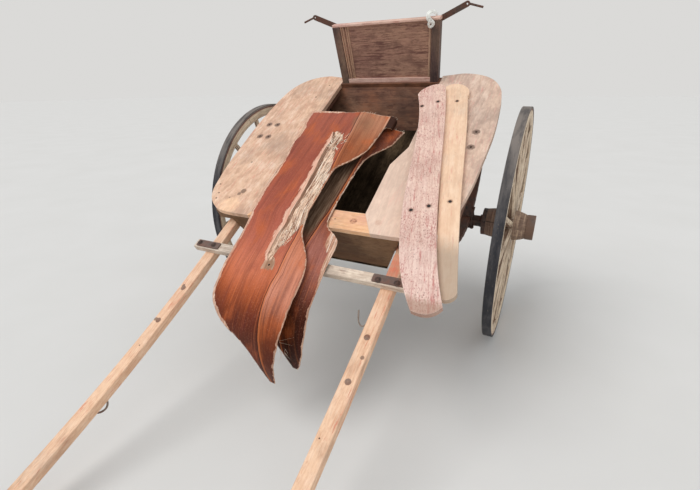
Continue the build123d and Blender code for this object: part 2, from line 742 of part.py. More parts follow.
# Loose boards laid on the right wing, the pink one on the pale one
boards = {"pale": (PALE_BOARD, WING_TOP), "pink": (PINK_BOARD, WING_TOP + BOARD)}
for board_name, (edges, seat) in boards.items():
    with BuildPart() as board:
        with BuildSketch(Plane.XY.offset(seat)):
            with BuildLine():
                for edge in edges:
                    Spline(*ahead(*edge))
            make_face()
        extrude(amount=BOARD)
    write(board.part, f"loose_board_{board_name}")


# Two bent panels stripped from the cart, nested and laid over the footwell
def below(curve, position):
    """The point one sheet's thickness from a curve, on its left."""
    point = curve @ position
    along = curve % position
    return point + SHEET * Vector(-along.Y, along.X)


def bent_sheet(fold_x, rear, flat_end, flat_height, fall, left_slope, right_slope, left_reach, outline):
    """A bent panel: one profile drawn out to the left and to the right of a fold, then cut to its outline."""
    with BuildSketch(Plane.YZ.offset(fold_x)) as profile:
        with BuildLine():
            bend = Spline((-flat_end, flat_height), *fall, tangents=((-1, 0), (-0.05, -1)))
            inside = [below(bend, step / BEND_STEPS) for step in range(BEND_STEPS + 1)]
            Spline(*inside, tangents=(bend % 0, bend % 1))
            Line(bend @ 1, inside[-1])
            Polyline(bend @ 0, (-rear, flat_height), (-rear, flat_height - SHEET), inside[0])
        make_face()
    with BuildSketch() as plan:
        with BuildLine():
            for curve in outline:
                Spline(*curve)
        make_face()
    left = (-cos(radians(left_slope)), 0, -sin(radians(left_slope)))
    right = (cos(radians(right_slope)), 0, -sin(radians(right_slope)))
    with BuildPart() as sheet:
        extrude(profile.sketch, amount=left_reach, dir=left)
        extrude(profile.sketch, amount=200, dir=right)
        extrude(plan.sketch, amount=1000, mode=Mode.INTERSECT)
    return sheet.part


upper_outline = (
    ((165, 77), (151, -40), (136, -200), (91, -307), (55, -370), (50, -500), (50, -650), (52, -730)),
    ((52, -730), (80, -780), (111, -830), (127, -900), (125, -1032), (112, -1163), (79, -1228), (45, -1250)),
    ((45, -1250), (-20, -1200), (-88, -1168), (-155, -1139), (-208, -1103), (-256, -1054), (-274, -1000)),
    ((-274, -1000), (-288, -800), (-305, -500), (-335, -100), (UPPER_REST, 136)),
    ((UPPER_REST, 136), (-318, 140), (-198, 107), (-57, 64), (40, 46), (111, 58), (165, 77)),
)
upper_sheet = bent_sheet(
    fold_x=UPPER_FOLD[0],
    rear=-180,
    flat_end=640,
    flat_height=UPPER_FOLD[1],
    fall=((-745, 615), (-900, 601), (-1018, 578), (-1096, 551), (-1157, 508), (-1205, 432), (-1228, 365), (-1243, 280)),
    left_slope=degrees(atan2(UPPER_FOLD[1] - SHEET - WING_TOP, UPPER_FOLD[0] - UPPER_REST)),
    right_slope=UPPER_FLANGE,
    left_reach=420,
    outline=upper_outline,
)
write(upper_sheet, "bent_sheet_upper")

lower_outline = (
    ((232, 28), (203, -90), (164, -152), (124, -232), (112, -400), (110, -600)),
    ((110, -600), (122, -650), (165, -682), (184, -705), (184, -805), (182, -988), (181, -1079), (164, -1138), (119, -1172)),
    ((119, -1172), (40, -1120), (-60, -1060), (-130, -960)),
    ((-130, -960), (-125, -860), (-125, -780), (-160, -700), (-240, -640)),
    ((-240, -640), (LOWER_REST, -540)),
    ((LOWER_REST, -540), (LOWER_REST, 40)),
    ((LOWER_REST, 40), (232, 28)),
)
lower_sheet = bent_sheet(
    fold_x=LOWER_FOLD[0],
    rear=-60,
    flat_end=640,
    flat_height=LOWER_FOLD[1],
    fall=((-700, 579), (-830, 561), (-930, 544), (-1000, 524), (-1060, 490), (-1105, 443), (-1135, 388), (-1165, 290)),
    left_slope=degrees(atan2(LOWER_FOLD[1] - SHEET - WING_TOP, LOWER_FOLD[0] - LOWER_REST)),
    right_slope=LOWER_FLANGE,
    left_reach=420,
    outline=lower_outline,
)
write(lower_sheet, "bent_sheet_lower")
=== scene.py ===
"""The looks of a two-wheeled horse cart, stripped for repair and parked on the tips of its shafts.

Places on the cart are given level, as the cart is driven: across from its middle line, ahead of the axle
and up from the axle, in metres. cart_point turns them into the frame of the parked cart. Colours are given
as they are read off a screen, from 0 to 255.
"""
import json
import math

import bmesh
import bpy
import numpy as np
from mathutils import Matrix, Vector, kdtree, noise


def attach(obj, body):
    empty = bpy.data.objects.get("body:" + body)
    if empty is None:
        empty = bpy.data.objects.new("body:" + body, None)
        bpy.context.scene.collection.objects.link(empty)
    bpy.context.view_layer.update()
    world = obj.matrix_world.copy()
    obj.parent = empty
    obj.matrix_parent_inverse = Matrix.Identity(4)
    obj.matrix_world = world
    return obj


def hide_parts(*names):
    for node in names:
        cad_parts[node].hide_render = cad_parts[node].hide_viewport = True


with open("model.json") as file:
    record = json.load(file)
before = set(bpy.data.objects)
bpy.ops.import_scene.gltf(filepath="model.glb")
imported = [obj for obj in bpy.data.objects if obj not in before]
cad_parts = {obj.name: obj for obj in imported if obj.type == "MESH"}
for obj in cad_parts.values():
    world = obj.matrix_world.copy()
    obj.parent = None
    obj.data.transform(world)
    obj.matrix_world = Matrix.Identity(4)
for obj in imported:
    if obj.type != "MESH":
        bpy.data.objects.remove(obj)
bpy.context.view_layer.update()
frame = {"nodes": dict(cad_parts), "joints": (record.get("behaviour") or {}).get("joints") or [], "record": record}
nodes = frame["nodes"]
joints = {joint["name"]: joint for joint in frame["joints"]}
mounts = {mount["name"]: mount for mount in frame["record"]["mounts"]}

# Where the parked cart stands: its tilt is the lean of the bolts through the shafts, its hubs the joints
bolt_axis = mounts["tug_bolt_left_rear"]["axis"]
TILT = math.atan2(-bolt_axis[1], bolt_axis[2])
HUB = Vector(joints["wheel_right_spin"]["pos_m"])
HUB.x = 0.0
LEVEL_TO_PARKED = Matrix.Translation(HUB) @ Matrix.Rotation(TILT, 4, "X")

# Sizes that the scene shares with the cart's pieces
SHAFT_TOP = 0.497
SHAFT_HEIGHT = 0.037
WING_TOP = 0.570
BOARD = 0.022
STRAP_TOP = 0.530
SEAT_BACK_AHEAD = -0.439
SEAT_BACK_LEAN = math.radians(14)
SHEET = 0.008
RIM_RADIUS = 0.57
SPOKES = 14
FELLOES = 7


def cart_point(across, ahead, up):
    """A place on the level cart, in the frame of the parked one."""
    return LEVEL_TO_PARKED @ Vector((across, -ahead, up))


def colour(red, green, blue):
    """A colour as it is read off a screen, from 0 to 255, in the shader's linear numbers."""
    shares = (red / 255, green / 255, blue / 255)
    return [v / 12.92 if v <= 0.04045 else ((v + 0.055) / 1.055) ** 2.4 for v in shares]


# Shader tools


class Value:
    """A number or colour that a shader node gives. Sums and products with it add math nodes."""

    def __init__(self, shader, socket):
        self.shader = shader
        self.socket = socket

    def __add__(self, other):
        return self.shader.math("ADD", self, other)

    def __radd__(self, other):
        return self.shader.math("ADD", other, self)

    def __sub__(self, other):
        return self.shader.math("SUBTRACT", self, other)

    def __rsub__(self, other):
        return self.shader.math("SUBTRACT", other, self)

    def __mul__(self, other):
        return self.shader.math("MULTIPLY", self, other)

    def __truediv__(self, other):
        return self.shader.math("DIVIDE", self, other)

    def __rtruediv__(self, other):
        return self.shader.math("DIVIDE", other, self)

    def __abs__(self):
        return self.shader.math("ABSOLUTE", self)


class Shader:
    """A node tree with short calls for the nodes that the finishes are made of."""

    def __init__(self, tree, material=None):
        self.tree = tree
        self.material = material

    def put(self, socket, value):
        """Links an input to a value, or sets it."""
        if isinstance(value, Value):
            self.tree.links.new(value.socket, socket)
        elif value is not None:
            socket.default_value = (*colour(*value), 1.0) if socket.type == "RGBA" else value

    def node(self, kind, values=(), **settings):
        """Adds a node, sets its inputs by name or number, and gives its outputs."""
        made = self.tree.nodes.new("ShaderNode" + kind)
        for name, setting in settings.items():
            setattr(made, name, setting)
        for key, value in dict(values).items():
            self.put(made.inputs[key], value)
        return [Value(self, socket) for socket in made.outputs]

    def math(self, operation, first, second=None):
        return self.node("Math", {0: first, 1: second}, operation=operation)[0]

    def most(self, first, *others):
        for other in others:
            first = self.math("MAXIMUM", first, other)
        return first

    def stretch(self, place, scales):
        return self.node("VectorMath", {0: place, 1: scales}, operation="MULTIPLY")[0]

    def measure(self, operation, first, second=None):
        """A vector's length, or the distance or dot product of two."""
        return self.node("VectorMath", {0: first, 1: second}, operation=operation)[1]

    def split(self, vector):
        return self.node("SeparateXYZ", {0: vector})

    def join(self, x=0.0, y=0.0, z=0.0):
        return self.node("CombineXYZ", {0: x, 1: y, 2: z})[0]

    def noise(self, place, size=1.0, detail=4.0, roughness=0.55):
        """Noise with about size waves to a metre. A size of three numbers stretches it."""
        if isinstance(size, tuple):
            place, size = self.stretch(place, size), 1.0
        return self.node("TexNoise",
                         {"Vector": place, "Scale": size, "Detail": detail, "Roughness": roughness})[0]

    def step(self, value, low, high, bottom=0.0, top=1.0):
        """A smooth step of a value from bottom at low to top at high."""
        limits = {"Value": value, "From Min": low, "From Max": high, "To Min": bottom, "To Max": top}
        return self.node("MapRange", limits, interpolation_type="SMOOTHSTEP")[0]

    def mix(self, share, first, second):
        return self.node("Mix", {0: share, 6: first, 7: second}, data_type="RGBA")[2]

    def coats(self, paint, *coats):
        """Lays coats over a paint one after the other. Each is a mask and a colour."""
        for mask, tint in coats:
            paint = self.mix(mask, paint, tint)
        return paint

    def group(self, group, *values):
        """Adds a shared group with its inputs in order, and gives its outputs by name."""
        outputs = self.node("Group", dict(enumerate(values)), node_tree=group)
        return {output.socket.name: output for output in outputs}

    def finish(self, paint, rough, height, distance, strength, normal=None, gloss=None, metallic=None):
        """Joins colour, roughness and bump to the material's surface, and gives the material."""
        bump = {"Height": height, "Distance": distance, "Strength": strength, "Normal": normal}
        surface = self.tree.nodes["Principled BSDF"].inputs
        for name, value in (("Base Color", paint), ("Roughness", rough),
                            ("Normal", self.node("Bump", bump)[0]), ("Specular IOR Level", gloss),
                            ("Metallic", metallic)):
            self.put(surface[name], value)
        return self.material

    def recoat(self, mask, tint):
        """Lays one more coat over a finished surface."""
        socket = self.tree.nodes["Principled BSDF"].inputs["Base Color"]
        self.put(socket, self.mix(mask, Value(self, socket.links[0].from_socket), tint))


def new_finish(name):
    """The Shader of a new material."""
    material = bpy.data.materials.new(name)
    material.use_nodes = True
    return Shader(material.node_tree, material)


def shared_group(name, inputs, build):
    """A node group. Its inputs are places, or numbers with a default. build gives its outputs by name."""
    group = bpy.data.node_groups.new(name, "ShaderNodeTree")
    for input_name, default in inputs.items():
        kind = "Vector" if default is None else "Float"
        socket = group.interface.new_socket(input_name, in_out="INPUT", socket_type="NodeSocket" + kind)
        if default is not None:
            socket.default_value = default
    s = Shader(group)
    given = [Value(s, socket) for socket in group.nodes.new("NodeGroupInput").outputs[:len(inputs)]]
    results = build(s, *given)
    for output_name, value in results.items():
        kind = "Vector" if value.socket.type == "VECTOR" else "Float"
        group.interface.new_socket(output_name, in_out="OUTPUT", socket_type="NodeSocket" + kind)
    outside = group.nodes.new("NodeGroupOutput").inputs
    for output_name, value in results.items():
        s.put(outside[output_name], value)
    return group


# Groups that several finishes share


def grain_lines(s, place, ring_size, wander, knots):
    """Wood grain along Y: rings that wander, fine fibres, pores and a few knots."""
    knot_cells = s.node("TexVoronoi",
                        {"Vector": s.stretch(place, (9, 2.6, 9)), "Scale": 1, "Randomness": 1})[0]
    knot_size = s.step(s.noise(place, 1.7, 1), 0.5, 0.72, 0, 0.15)
    knot = s.step(knot_cells, knot_size, 0) * knots
    pull = s.step(knot_cells, 0.55, 0) * knots
    drift = s.noise(place, (5, 0.9, 5), 2)
    x, y, z = s.split(place)
    phase = (x + z * 0.45) / ring_size + drift * 9 * wander + pull * 3
    rings = s.math("FRACT", phase)
    rings = s.math("POWER", rings, 1.7) * s.step(rings, 1, 0.86)
    fibre = s.noise(place, (300, 7, 300), 3, 0.6) * 0.5 + s.noise(place, (90, 2.2, 90), 4, 0.6) * 0.5
    pores = s.step(s.noise(place, (520, 26, 520), 2), 0.62, 0.72)
    height = fibre * 0.6 - pores * 0.5 - rings * 0.25
    return {"Rings": rings, "Fibre": fibre, "Pores": pores, "Knot": knot, "Height": height}


def worn_edges(s, radius, place):
    """How near a surface is to an outer edge, with rounded normals."""
    rounded = s.node("Bevel", {"Radius": radius}, samples=4)[0]
    flat = s.node("NewGeometry")[1]
    bend = 1 - s.measure("DOT_PRODUCT", rounded, flat)
    broken = s.noise(place, 35, 3)
    return {"Edge": s.step(bend + (broken - 0.5) * 0.05, 0.02, 0.1), "Normal": rounded}


def turned_back(s, matrix):
    """Object coordinates in the frame that a matrix places in the parked one."""
    back = matrix.inverted()
    turn = {"Vector": s.node("TexCoord")[3], "Location": back.to_translation(), "Rotation": back.to_euler()}
    return s.node("Mapping", turn)[0]


def uneven_patches(s, place, amount, size, softness):
    """Broad uneven patches of dirt or old paint, broken up along the grain."""
    scaled = s.node("VectorMath", {"Vector": place, "Scale": 1 / size}, operation="SCALE")[0]
    both = s.noise(scaled, detail=3) * 0.68 + s.noise(place, (140, 18, 140), 3, 0.65) * 0.32
    level = 0.72 - amount * 0.44
    return {"Mask": s.step(both, level - softness, level + softness)}


GRAIN = shared_group("wood_grain", {"Vector": None, "Ring Size": 0.012, "Wander": 1.0, "Knots": 0.0},
                     grain_lines)
EDGE_WEAR = shared_group("edge_wear", {"Radius": 0.004, "Vector": None}, worn_edges)
LEVEL = shared_group("level_place", {}, lambda s: {"Vector": turned_back(s, LEVEL_TO_PARKED)})
PATCHES = shared_group("patches", {"Vector": None, "Amount": 0.5, "Size": 0.12, "Softness": 0.12},
                       uneven_patches)


def level_place(s):
    return s.group(LEVEL)["Vector"]


def patches(s, place, amount, size):
    return s.group(PATCHES, place, amount, size)["Mask"]


def spot(s, place, centre, radius):
    """A soft round mask about a place on the level cart."""
    away = s.measure("DISTANCE", place, (centre[0], -centre[1], centre[2]))
    wobble = (s.noise(place, 160, 2) - 0.5) * (radius * 0.7)
    return s.step(away + wobble, radius * 1.1, radius * 0.7)


def spots(s, place, places):
    return s.most(*[spot(s, place, centre, radius) for centre, radius in places])


def use(material, names):
    """Gives CAD nodes a finish. A star in a name stands for left and right."""
    for name in names.split():
        for side in ("left", "right") if "*" in name else ("",):
            slots = nodes[name.replace("*", side)].data.materials
            slots.clear()
            slots.append(material)


def wood(name, names, pale, dark, old_paint, grime, turn=(0, 0, 0), ring_size=0.014, knots=0.35, edge=None,
         rough=0.62, nails=(), nail_radius=0.0035, marks=(), offset=(0, 0, 0), contrast=0.55, wander=1.0,
         specks=0.0, streaky=False, holes=(), foot=None, patchy=0.35, light=(250, 226, 204), flaky=None,
         soft_marks=(), gloss=0.5, lift=None, blush=()):
    """Bare or stained wood with its grain, worn edges, nail holes and knots.

    old_paint and grime are a colour and an amount. lift and foot are stretches ahead of the axle: from, to
    and colour. blush, marks, soft_marks and holes are round spots: a place and a radius, and for blush a
    colour.
    """
    s = new_finish(name)
    level = level_place(s)
    turned = {"Vector": level, "Location": offset, "Rotation": [math.radians(a) for a in turn]}
    place = s.node("Mapping", turned)[0]
    grain = s.group(GRAIN, place, ring_size, wander, knots)
    edges = s.group(EDGE_WEAR, 0.0035, place)
    tone = grain["Rings"] * contrast + s.step(grain["Fibre"], 0.35, 0.66) * (1 - contrast)
    mottle = s.noise(place, (95, 40, 95), 4, 0.7)
    blotch = s.noise(place, (26, 13, 26), 5, 0.62)
    bright = s.mix(0.5, pale, light)
    paint = s.coats(
        s.mix(tone, pale, dark),
        (s.step(s.noise(place, (6, 1.5, 6), 3), 0.35, 0.7, 0, 0.35), s.mix(0.5, pale, (245, 205, 160))),
        (s.step(mottle, 0.5, 0.68, 0, 0.4), dark),
        (s.step(mottle, 0.48, 0.3, 0, 0.4), bright),
        (s.step(blotch, 0.5, 0.64, 0, patchy), dark),
        (s.step(blotch, 0.48, 0.34, 0, patchy), bright),
    )
    if lift:
        start, stop, cleaner = lift
        paint = s.mix(s.step(s.split(level)[1], -start, -stop, 0, 0.15), paint, cleaner)
    residue, residue_amount = old_paint
    if streaky:
        stain = s.noise(place, (120, 9, 120), 6, 0.75)
        limit = 0.7 - (s.noise(place, (14, 5, 14), 3) + residue_amount) * 0.2
        mask = s.step(stain, limit, limit + 0.1) * 0.8
    else:
        mask = patches(s, place, residue_amount, 0.16) * 0.7
    paint = s.mix(mask, paint, residue)
    if flaky:
        # Old paint that has come off in flakes: pale where it is gone, darker where it holds
        flakes = s.noise(place, (230, 105, 230), 5, 0.72)
        limit = 0.64 - s.noise(place, (11, 5, 11), 3) * 0.2
        paint = s.coats(paint, (s.step(flakes, limit, limit + 0.07, 0, 0.75), flaky),
                        (s.step(flakes, 0.44, 0.36, 0, 0.7), bright))
    if specks:
        cells = {"Vector": s.stretch(place, (150, 100, 150)), "Scale": 1, "Randomness": 1}
        distance, kinds = s.node("TexVoronoi", cells)[:2]
        chosen, size = s.split(kinds)[:2]
        gathered = s.step(s.noise(place, (16, 7, 16), 3), 0.36, 0.62)
        reach = 0.16 + size * 0.22
        dot = s.step(distance, reach, reach - 0.14) * s.step(chosen * gathered, 1 - specks, 1.04 - specks)
        paint = s.mix(dot * 0.65, paint, (112, 62, 54))
    elsewhere = s.node("VectorMath", {0: place, 1: (3.1, 7.7, 1.3)}, operation="ADD")[0]
    paint = s.coats(
        paint,
        (patches(s, elsewhere, grime[1], 0.2) * 0.55, grime[0]),
        (grain["Pores"] * 0.45, s.mix(0.5, dark, grime[0])),
        (grain["Knot"] * 0.85, s.mix(0.6, dark, (90, 58, 42))),
    )
    if marks:
        paint = s.mix(spots(s, level, marks) * 0.75, paint, (104, 78, 62))
    for centre, radius, tint in blush:
        mask = spot(s, level, centre, radius) * s.step(mottle, 0.3, 0.55, 0.75, 0.4)
        paint = s.mix(mask, paint, tint)
    if soft_marks:
        rings = s.step(s.math("SINE", s.noise(level, 60) * 40), -0.8, 0.8, 0.35, 0.8)
        paint = s.mix(spots(s, level, soft_marks) * rings, paint, (164, 104, 74))
    if foot:
        start, stop, dirty = foot
        uneven = (mottle - 0.5) * 0.06
        paint = s.mix(s.step(s.split(level)[1] + uneven, -start, -stop, 0, 0.7), paint, dirty)
    if edge:
        paint = s.mix(edges["Edge"] * 0.7, paint, edge)
    height = grain["Height"] + mottle * 0.5
    if holes:
        rims = spots(s, level, holes)
        paint = s.mix(rims * 0.8, paint, (104, 80, 68))
        height = height - rims * 3
    if nails:
        heads = spots(s, level, [(centre, nail_radius) for centre in nails])
        stains = spots(s, level, [(centre, nail_radius * 1.7) for centre in nails])
        paint = s.coats(paint, (stains * 0.5, (134, 84, 62)), (heads, (30, 20, 17)))
        height = height - heads * 3
    s.finish(paint, rough + (grain["Fibre"] - 0.5) * 0.3, height, 0.0011, 0.55, edges["Normal"], gloss)
    use(s.material, names)
    return s


# Grain that runs across the cart, and grain that runs upward
CROSSWISE = (0, 0, 90)
UPWARD = (90, 0, 0)
EDGE_PALE = (238, 208, 182)

wing_holes = [[((side * x, ahead, WING_TOP), 0.0195) for x in (0.521, 0.577) for ahead in (-0.021, 0.087)]
              for side in (-1, 1)]
wing_marks = [((x, ahead, WING_TOP), radius) for x, ahead, radius in (
    (-0.419, 0.508, 0.017), (-0.432, 0.528, 0.011), (-0.470, 0.560, 0.006), (-0.404, -0.298, 0.007),
    (-0.500, 0.300, 0.006))]
wing_nails = [(x, ahead, WING_TOP) for x, ahead in (
    (-0.554, 0.539), (-0.545, 0.575), (-0.585, 0.480), (-0.370, -0.420))]
wood("wing_sanded_left", "wing_left", (228, 188, 160), (192, 150, 124), ((212, 142, 120), 0.25),
     ((158, 134, 118), 0.34), ring_size=0.03, edge=EDGE_PALE, nails=wing_nails, marks=wing_marks, knots=0.15,
     offset=(0.3, 0.2, 0), streaky=True, holes=wing_holes[0], patchy=0.7,
     blush=[((-0.44, 0.61, WING_TOP), 0.060, (255, 210, 168))])
s = wood("wing_sanded_right", "wing_right", (216, 188, 170), (180, 150, 134), ((212, 158, 144), 0.25),
         ((152, 132, 120), 0.34), ring_size=0.03, edge=(230, 208, 192), knots=0.1, streaky=True,
         holes=wing_holes[1], patchy=0.6, soft_marks=[((0.322, 0.588, WING_TOP), 0.016)])
# Painted light: the right wing is lightened and warmed towards its front inner corner, against the shade that
# falls there near the footwell
x, behind, up = s.split(level_place(s))
s.recoat(s.step(behind * -1 + (0.5 - x) * 1.6, 0.05, 0.75, 0, 0.45), (250, 218, 194))

rail_marks = [((x, ahead, WING_TOP), radius) for x, ahead, radius in (
    (0.205, 0.599, 0.004), (0.226, 0.597, 0.005), (0.130, 0.600, 0.004))]
wood("front_rail_sanded", "front_rail", (250, 198, 150), (214, 154, 108), ((222, 160, 136), 0.3),
     ((150, 128, 112), 0.2), CROSSWISE, 0.02, 0.9, EDGE_PALE, soft_marks=[((0.215, 0.598, WING_TOP), 0.017)],
     marks=rail_marks)
wood("shaft_sanded", "shaft_*", (240, 202, 170), (206, 154, 120), ((206, 116, 88), 0.15),
     ((150, 116, 96), 0.22), ring_size=0.012, edge=(240, 212, 182), knots=0.5, contrast=0.4, streaky=True,
     marks=[((-0.443, 1.034, 0.499), 0.009), ((-0.453, 1.210, 0.506), 0.009),
            ((0.448, 1.120, 0.503), 0.008)], nails=[(-0.430, 1.330, 0.514), (0.424, 1.400, 0.520)],
     nail_radius=0.0022,
     blush=[((0.430, ahead, SHAFT_TOP), 0.030, (224, 118, 86)) for ahead in (0.700, 0.732, 0.765)])
wood("packing_sanded", "shaft_packing_*", (220, 170, 134), (180, 122, 90), ((192, 96, 66), 0.5),
     ((120, 100, 88), 0.4), ring_size=0.012)
wood("crossbar_weathered", "crossbar", (236, 222, 204), (178, 152, 132), ((150, 112, 94), 0.3),
     ((124, 104, 92), 0.36), CROSSWISE, 0.011, 0.1, (234, 222, 206), streaky=True, specks=0.12)
pink_nails = [(x, ahead, WING_TOP + 2 * BOARD) for x, ahead in (
    (0.289, -0.152), (0.358, -0.192), (0.450, 0.539), (0.512, 0.507))]
pale_nails = [(0.441, -0.231, WING_TOP + BOARD), (0.578, 0.450, WING_TOP + BOARD)]
wood("pink_board", "loose_board_pink", (232, 202, 188), (204, 162, 148), ((188, 108, 102), 0.26),
     ((170, 130, 118), 0.3), (0, 0, -14), 0.02, 0.15, (240, 216, 200), nail_radius=0.0085, streaky=True,
     specks=0.8, nails=pink_nails, foot=(0.905, 0.935, (160, 124, 104)), flaky=(176, 104, 100),
     lift=(0.70, 0.72, (250, 226, 216)))
wood("pale_board", "loose_board_pale", (242, 210, 180), (222, 180, 148), ((224, 166, 142), 0.2),
     ((190, 162, 140), 0.25), (0, 0, -11), 0.03, 0.35, (244, 220, 196), nail_radius=0.0075, streaky=True,
     specks=0.16, nails=pale_nails, foot=(0.60, 0.72, (156, 138, 120)))
for name, node in (("seat_trim_sanded", "seat_back_cap"), ("foot_strip_wood", "seat_back_foot")):
    s = wood(name, node, (224, 186, 172), (190, 142, 128), ((186, 124, 108), 0.3), ((120, 100, 88), 0.25),
             CROSSWISE, knots=0.0, edge=(232, 204, 190), streaky=True)
# The seat back's foot strip is rubbed pale on its upper half and brown below
x, behind, up = s.split(level_place(s))
high = (up - WING_TOP) / math.cos(SEAT_BACK_LEAN) + s.noise(s.join(x * 40)) * 0.004
s.recoat(s.step(high, 0.009, 0.006) * 0.85, (146, 102, 84))

wood("seat_panel_brown", "seat_back_panel", (168, 124, 106), (104, 70, 60), ((92, 54, 48), 0.5),
     ((116, 76, 68), 0.3), CROSSWISE, 0.016, 0.5, None, 0.5, streaky=True, wander=2.2, light=(186, 146, 120),
     patchy=0.5, gloss=0.35)
wood("rear_panel_brown", "rear_panel rear_rail", (136, 94, 74), (80, 48, 36), ((156, 100, 70), 0.45),
     ((62, 38, 30), 0.5), CROSSWISE, 0.03, 0.4, None, 0.55, wander=1.8, light=(158, 106, 74), patchy=0.7,
     gloss=0.3)
wood("brown_along", "side_rail_* valance_*", (112, 76, 60), (66, 42, 34), ((140, 94, 74), 0.3),
     ((54, 38, 32), 0.4), ring_size=0.02, knots=0.2, rough=0.6, light=(128, 88, 70), gloss=0.3)
# Painted shade: the side panels are painted near black for the shadow inside the tub, on their outer faces too
wood("tub_inside_painted_shade", "side_panel_*", (40, 25, 21), (20, 12, 10), ((52, 28, 23), 0.3), ((16, 11, 10), 0.5),
     ring_size=0.02, knots=0.1, rough=0.85, light=(44, 28, 23), gloss=0.05)
# Painted shade: the floor boards are painted almost black for the deep shade in the footwell
wood("floor_boards_painted_shade", "floor", (18, 12, 11), (9, 7, 6), ((26, 15, 13), 0.3), ((8, 6, 5), 0.5),
     ring_size=0.02, knots=0.1, rough=0.9, light=(22, 15, 13), gloss=0.0)
wood("front_panel_brown", "front_panel bearer_front bearer_rear wing_batten_*", (98, 62, 36), (72, 44, 26),
     ((124, 88, 58), 0.3), ((62, 40, 26), 0.3), CROSSWISE, 0.03, 0.1, None, 0.65, light=(116, 80, 50),
     gloss=0.25)
wood("post_dark", "seat_post_*", (92, 70, 64), (52, 38, 38), ((132, 90, 76), 0.25), ((46, 37, 37), 0.4),
     UPWARD, 0.012, 0.0, (158, 116, 104), 0.5, light=(112, 84, 74), gloss=0.3)
moulding_wood = wood("moulding_brown", "", (204, 164, 138), (146, 112, 90), ((178, 134, 116), 0.3),
                     ((84, 58, 46), 0.4), UPWARD, 0.01, 0.0, None, 0.55, light=(172, 136, 112),
                     gloss=0.3).material


def iron(name, names, base, rust, rust_amount=0.5, rough=0.55, metallic=0.55):
    """Forged iron with rust, scale and a little bare metal on its edges."""
    s = new_finish(name)
    place = level_place(s)
    edges = s.group(EDGE_WEAR, 0.0015, place)
    scale = s.noise(place, 70, 6, 0.65)
    fine = s.noise(place, 420, 3)
    rusty = patches(s, place, rust_amount, 0.05)
    paint = s.coats(
        s.mix(s.step(scale, 0.3, 0.7), base, s.mix(0.5, base, (130, 118, 110))),
        (rusty, s.mix(fine, rust, s.mix(0.5, rust, (60, 38, 30)))),
        (edges["Edge"] * 0.4, (150, 132, 120)),
    )
    s.finish(paint, rough + fine * 0.25, scale + fine * 0.4, 0.0014, 0.5, edges["Normal"],
             metallic=(1 - rusty) * metallic)
    use(s.material, names)
    return s.material


iron("iron_plate", "bar_strap_*", (104, 88, 82), (128, 90, 74))
iron("iron_band", "nave_band_*", (112, 94, 84), (134, 106, 88), 0.6, 0.65, 0.2)
iron_rusty = iron("iron_rusty", "seat_arm_* spring_* hanger_front_* hanger_rear_*", (74, 58, 52),
                  (104, 66, 50), 0.6)
iron_dark = iron("iron_dark", "axle axle_clip_* nave_hoop_* axle_box_*", (52, 46, 46), (92, 58, 44), 0.45)
iron_worn = iron("iron_worn", "", (156, 122, 102), (154, 108, 84), metallic=0.0)
iron_wire = iron("iron_wire", "", (150, 138, 128), (112, 84, 70), 0.3, metallic=0.2)


def wheel_axle(side):
    """A wheel's hub, and the way outward along its axle."""
    joint = joints[f"wheel_{side}_spin"]
    axle = Vector(joint["axis"])
    return Vector(joint["pos_m"]), axle if axle.x * (1 if side == "right" else -1) > 0 else -axle


def wheel_finish(name, side):
    """The Shader of a wheel's finish, and the place on the wheel, its radius, angle and depth."""
    hub, outward = wheel_axle(side)
    top = (Vector((0, 0, 1)) - outward * outward.z).normalized()
    to_parked = Matrix((top.cross(outward), top, outward)).transposed().to_4x4()
    to_parked.translation = hub
    s = new_finish(f"{name}_{side}")
    place = turned_back(s, to_parked)
    x, y, depth = s.split(place)
    return s, place, s.measure("LENGTH", s.join(x, y)), s.math("ARCTAN2", y, x), depth


def faces_across(s, side):
    """0 where a wheel's surface looks along the axle, 1 where it looks across it."""
    axle = tuple(Vector(joints[f"wheel_{side}_spin"]["axis"]))
    return 1 - s.step(abs(s.measure("DOT_PRODUCT", s.node("NewGeometry")[1], axle)), 0.45, 0.8)


def wheel_grain(s, along, ring_size, ring_share, pale, dark, dirt_amount, dirt_size):
    """What felloes and spokes share: grain, worn edges, streaks, patches of dirt and the first paint."""
    grain = s.group(GRAIN, along, ring_size, 1.0, 0.0)
    tone = grain["Rings"] * ring_share + s.step(grain["Fibre"], 0.35, 0.65) * 0.6
    streak = s.noise(along, (160, 9, 160), 4, 0.65)
    return (grain, s.group(EDGE_WEAR, 0.003, along), streak, patches(s, along, dirt_amount, dirt_size),
            s.mix(tone, pale, dark))


def felloe_wood(side):
    """Felloes: pale worn paint over grey wood, with the joints between them."""
    s, place, radius, angle, depth = wheel_finish("felloe_wood", side)
    along = s.join(radius, angle * RIM_RADIUS, depth)
    grain, edges, streak, dirt, paint = wheel_grain(s, along, 0.013, 0.4, (232, 214, 186), (196, 168, 138),
                                                    0.34, 0.09)
    near_tyre = s.step(radius + s.noise(along, 40) * 0.004, 0.5835, 0.5875)
    felloe_angle = 2 * math.pi / FELLOES
    from_joint = abs(s.math("FRACT", angle / felloe_angle + 0.25) - 0.5) * (RIM_RADIUS * felloe_angle)
    joint_line = s.step(from_joint, 0.0016, 0.0007)
    paint = s.coats(
        paint,
        (dirt * 0.45, (148, 116, 94)),
        # Dirt and painted shade: faces that look across the axle are browned in streaks
        (faces_across(s, side) * s.step(streak, 0.35, 0.6, 0.4, 0.85), (116, 84, 64)),
        (s.step(streak, 0.56, 0.66, 0, 0.6), (120, 88, 68)),
        (near_tyre * 0.9, (104, 48, 44)),
        (joint_line, (52, 36, 30)),
        (grain["Pores"] * 0.5, (98, 76, 62)),
        (edges["Edge"] * 0.7, (246, 232, 206)),
    )
    return s.finish(paint, 0.55 + dirt * 0.2, grain["Height"] - joint_line * 2, 0.0012, 0.6, edges["Normal"])


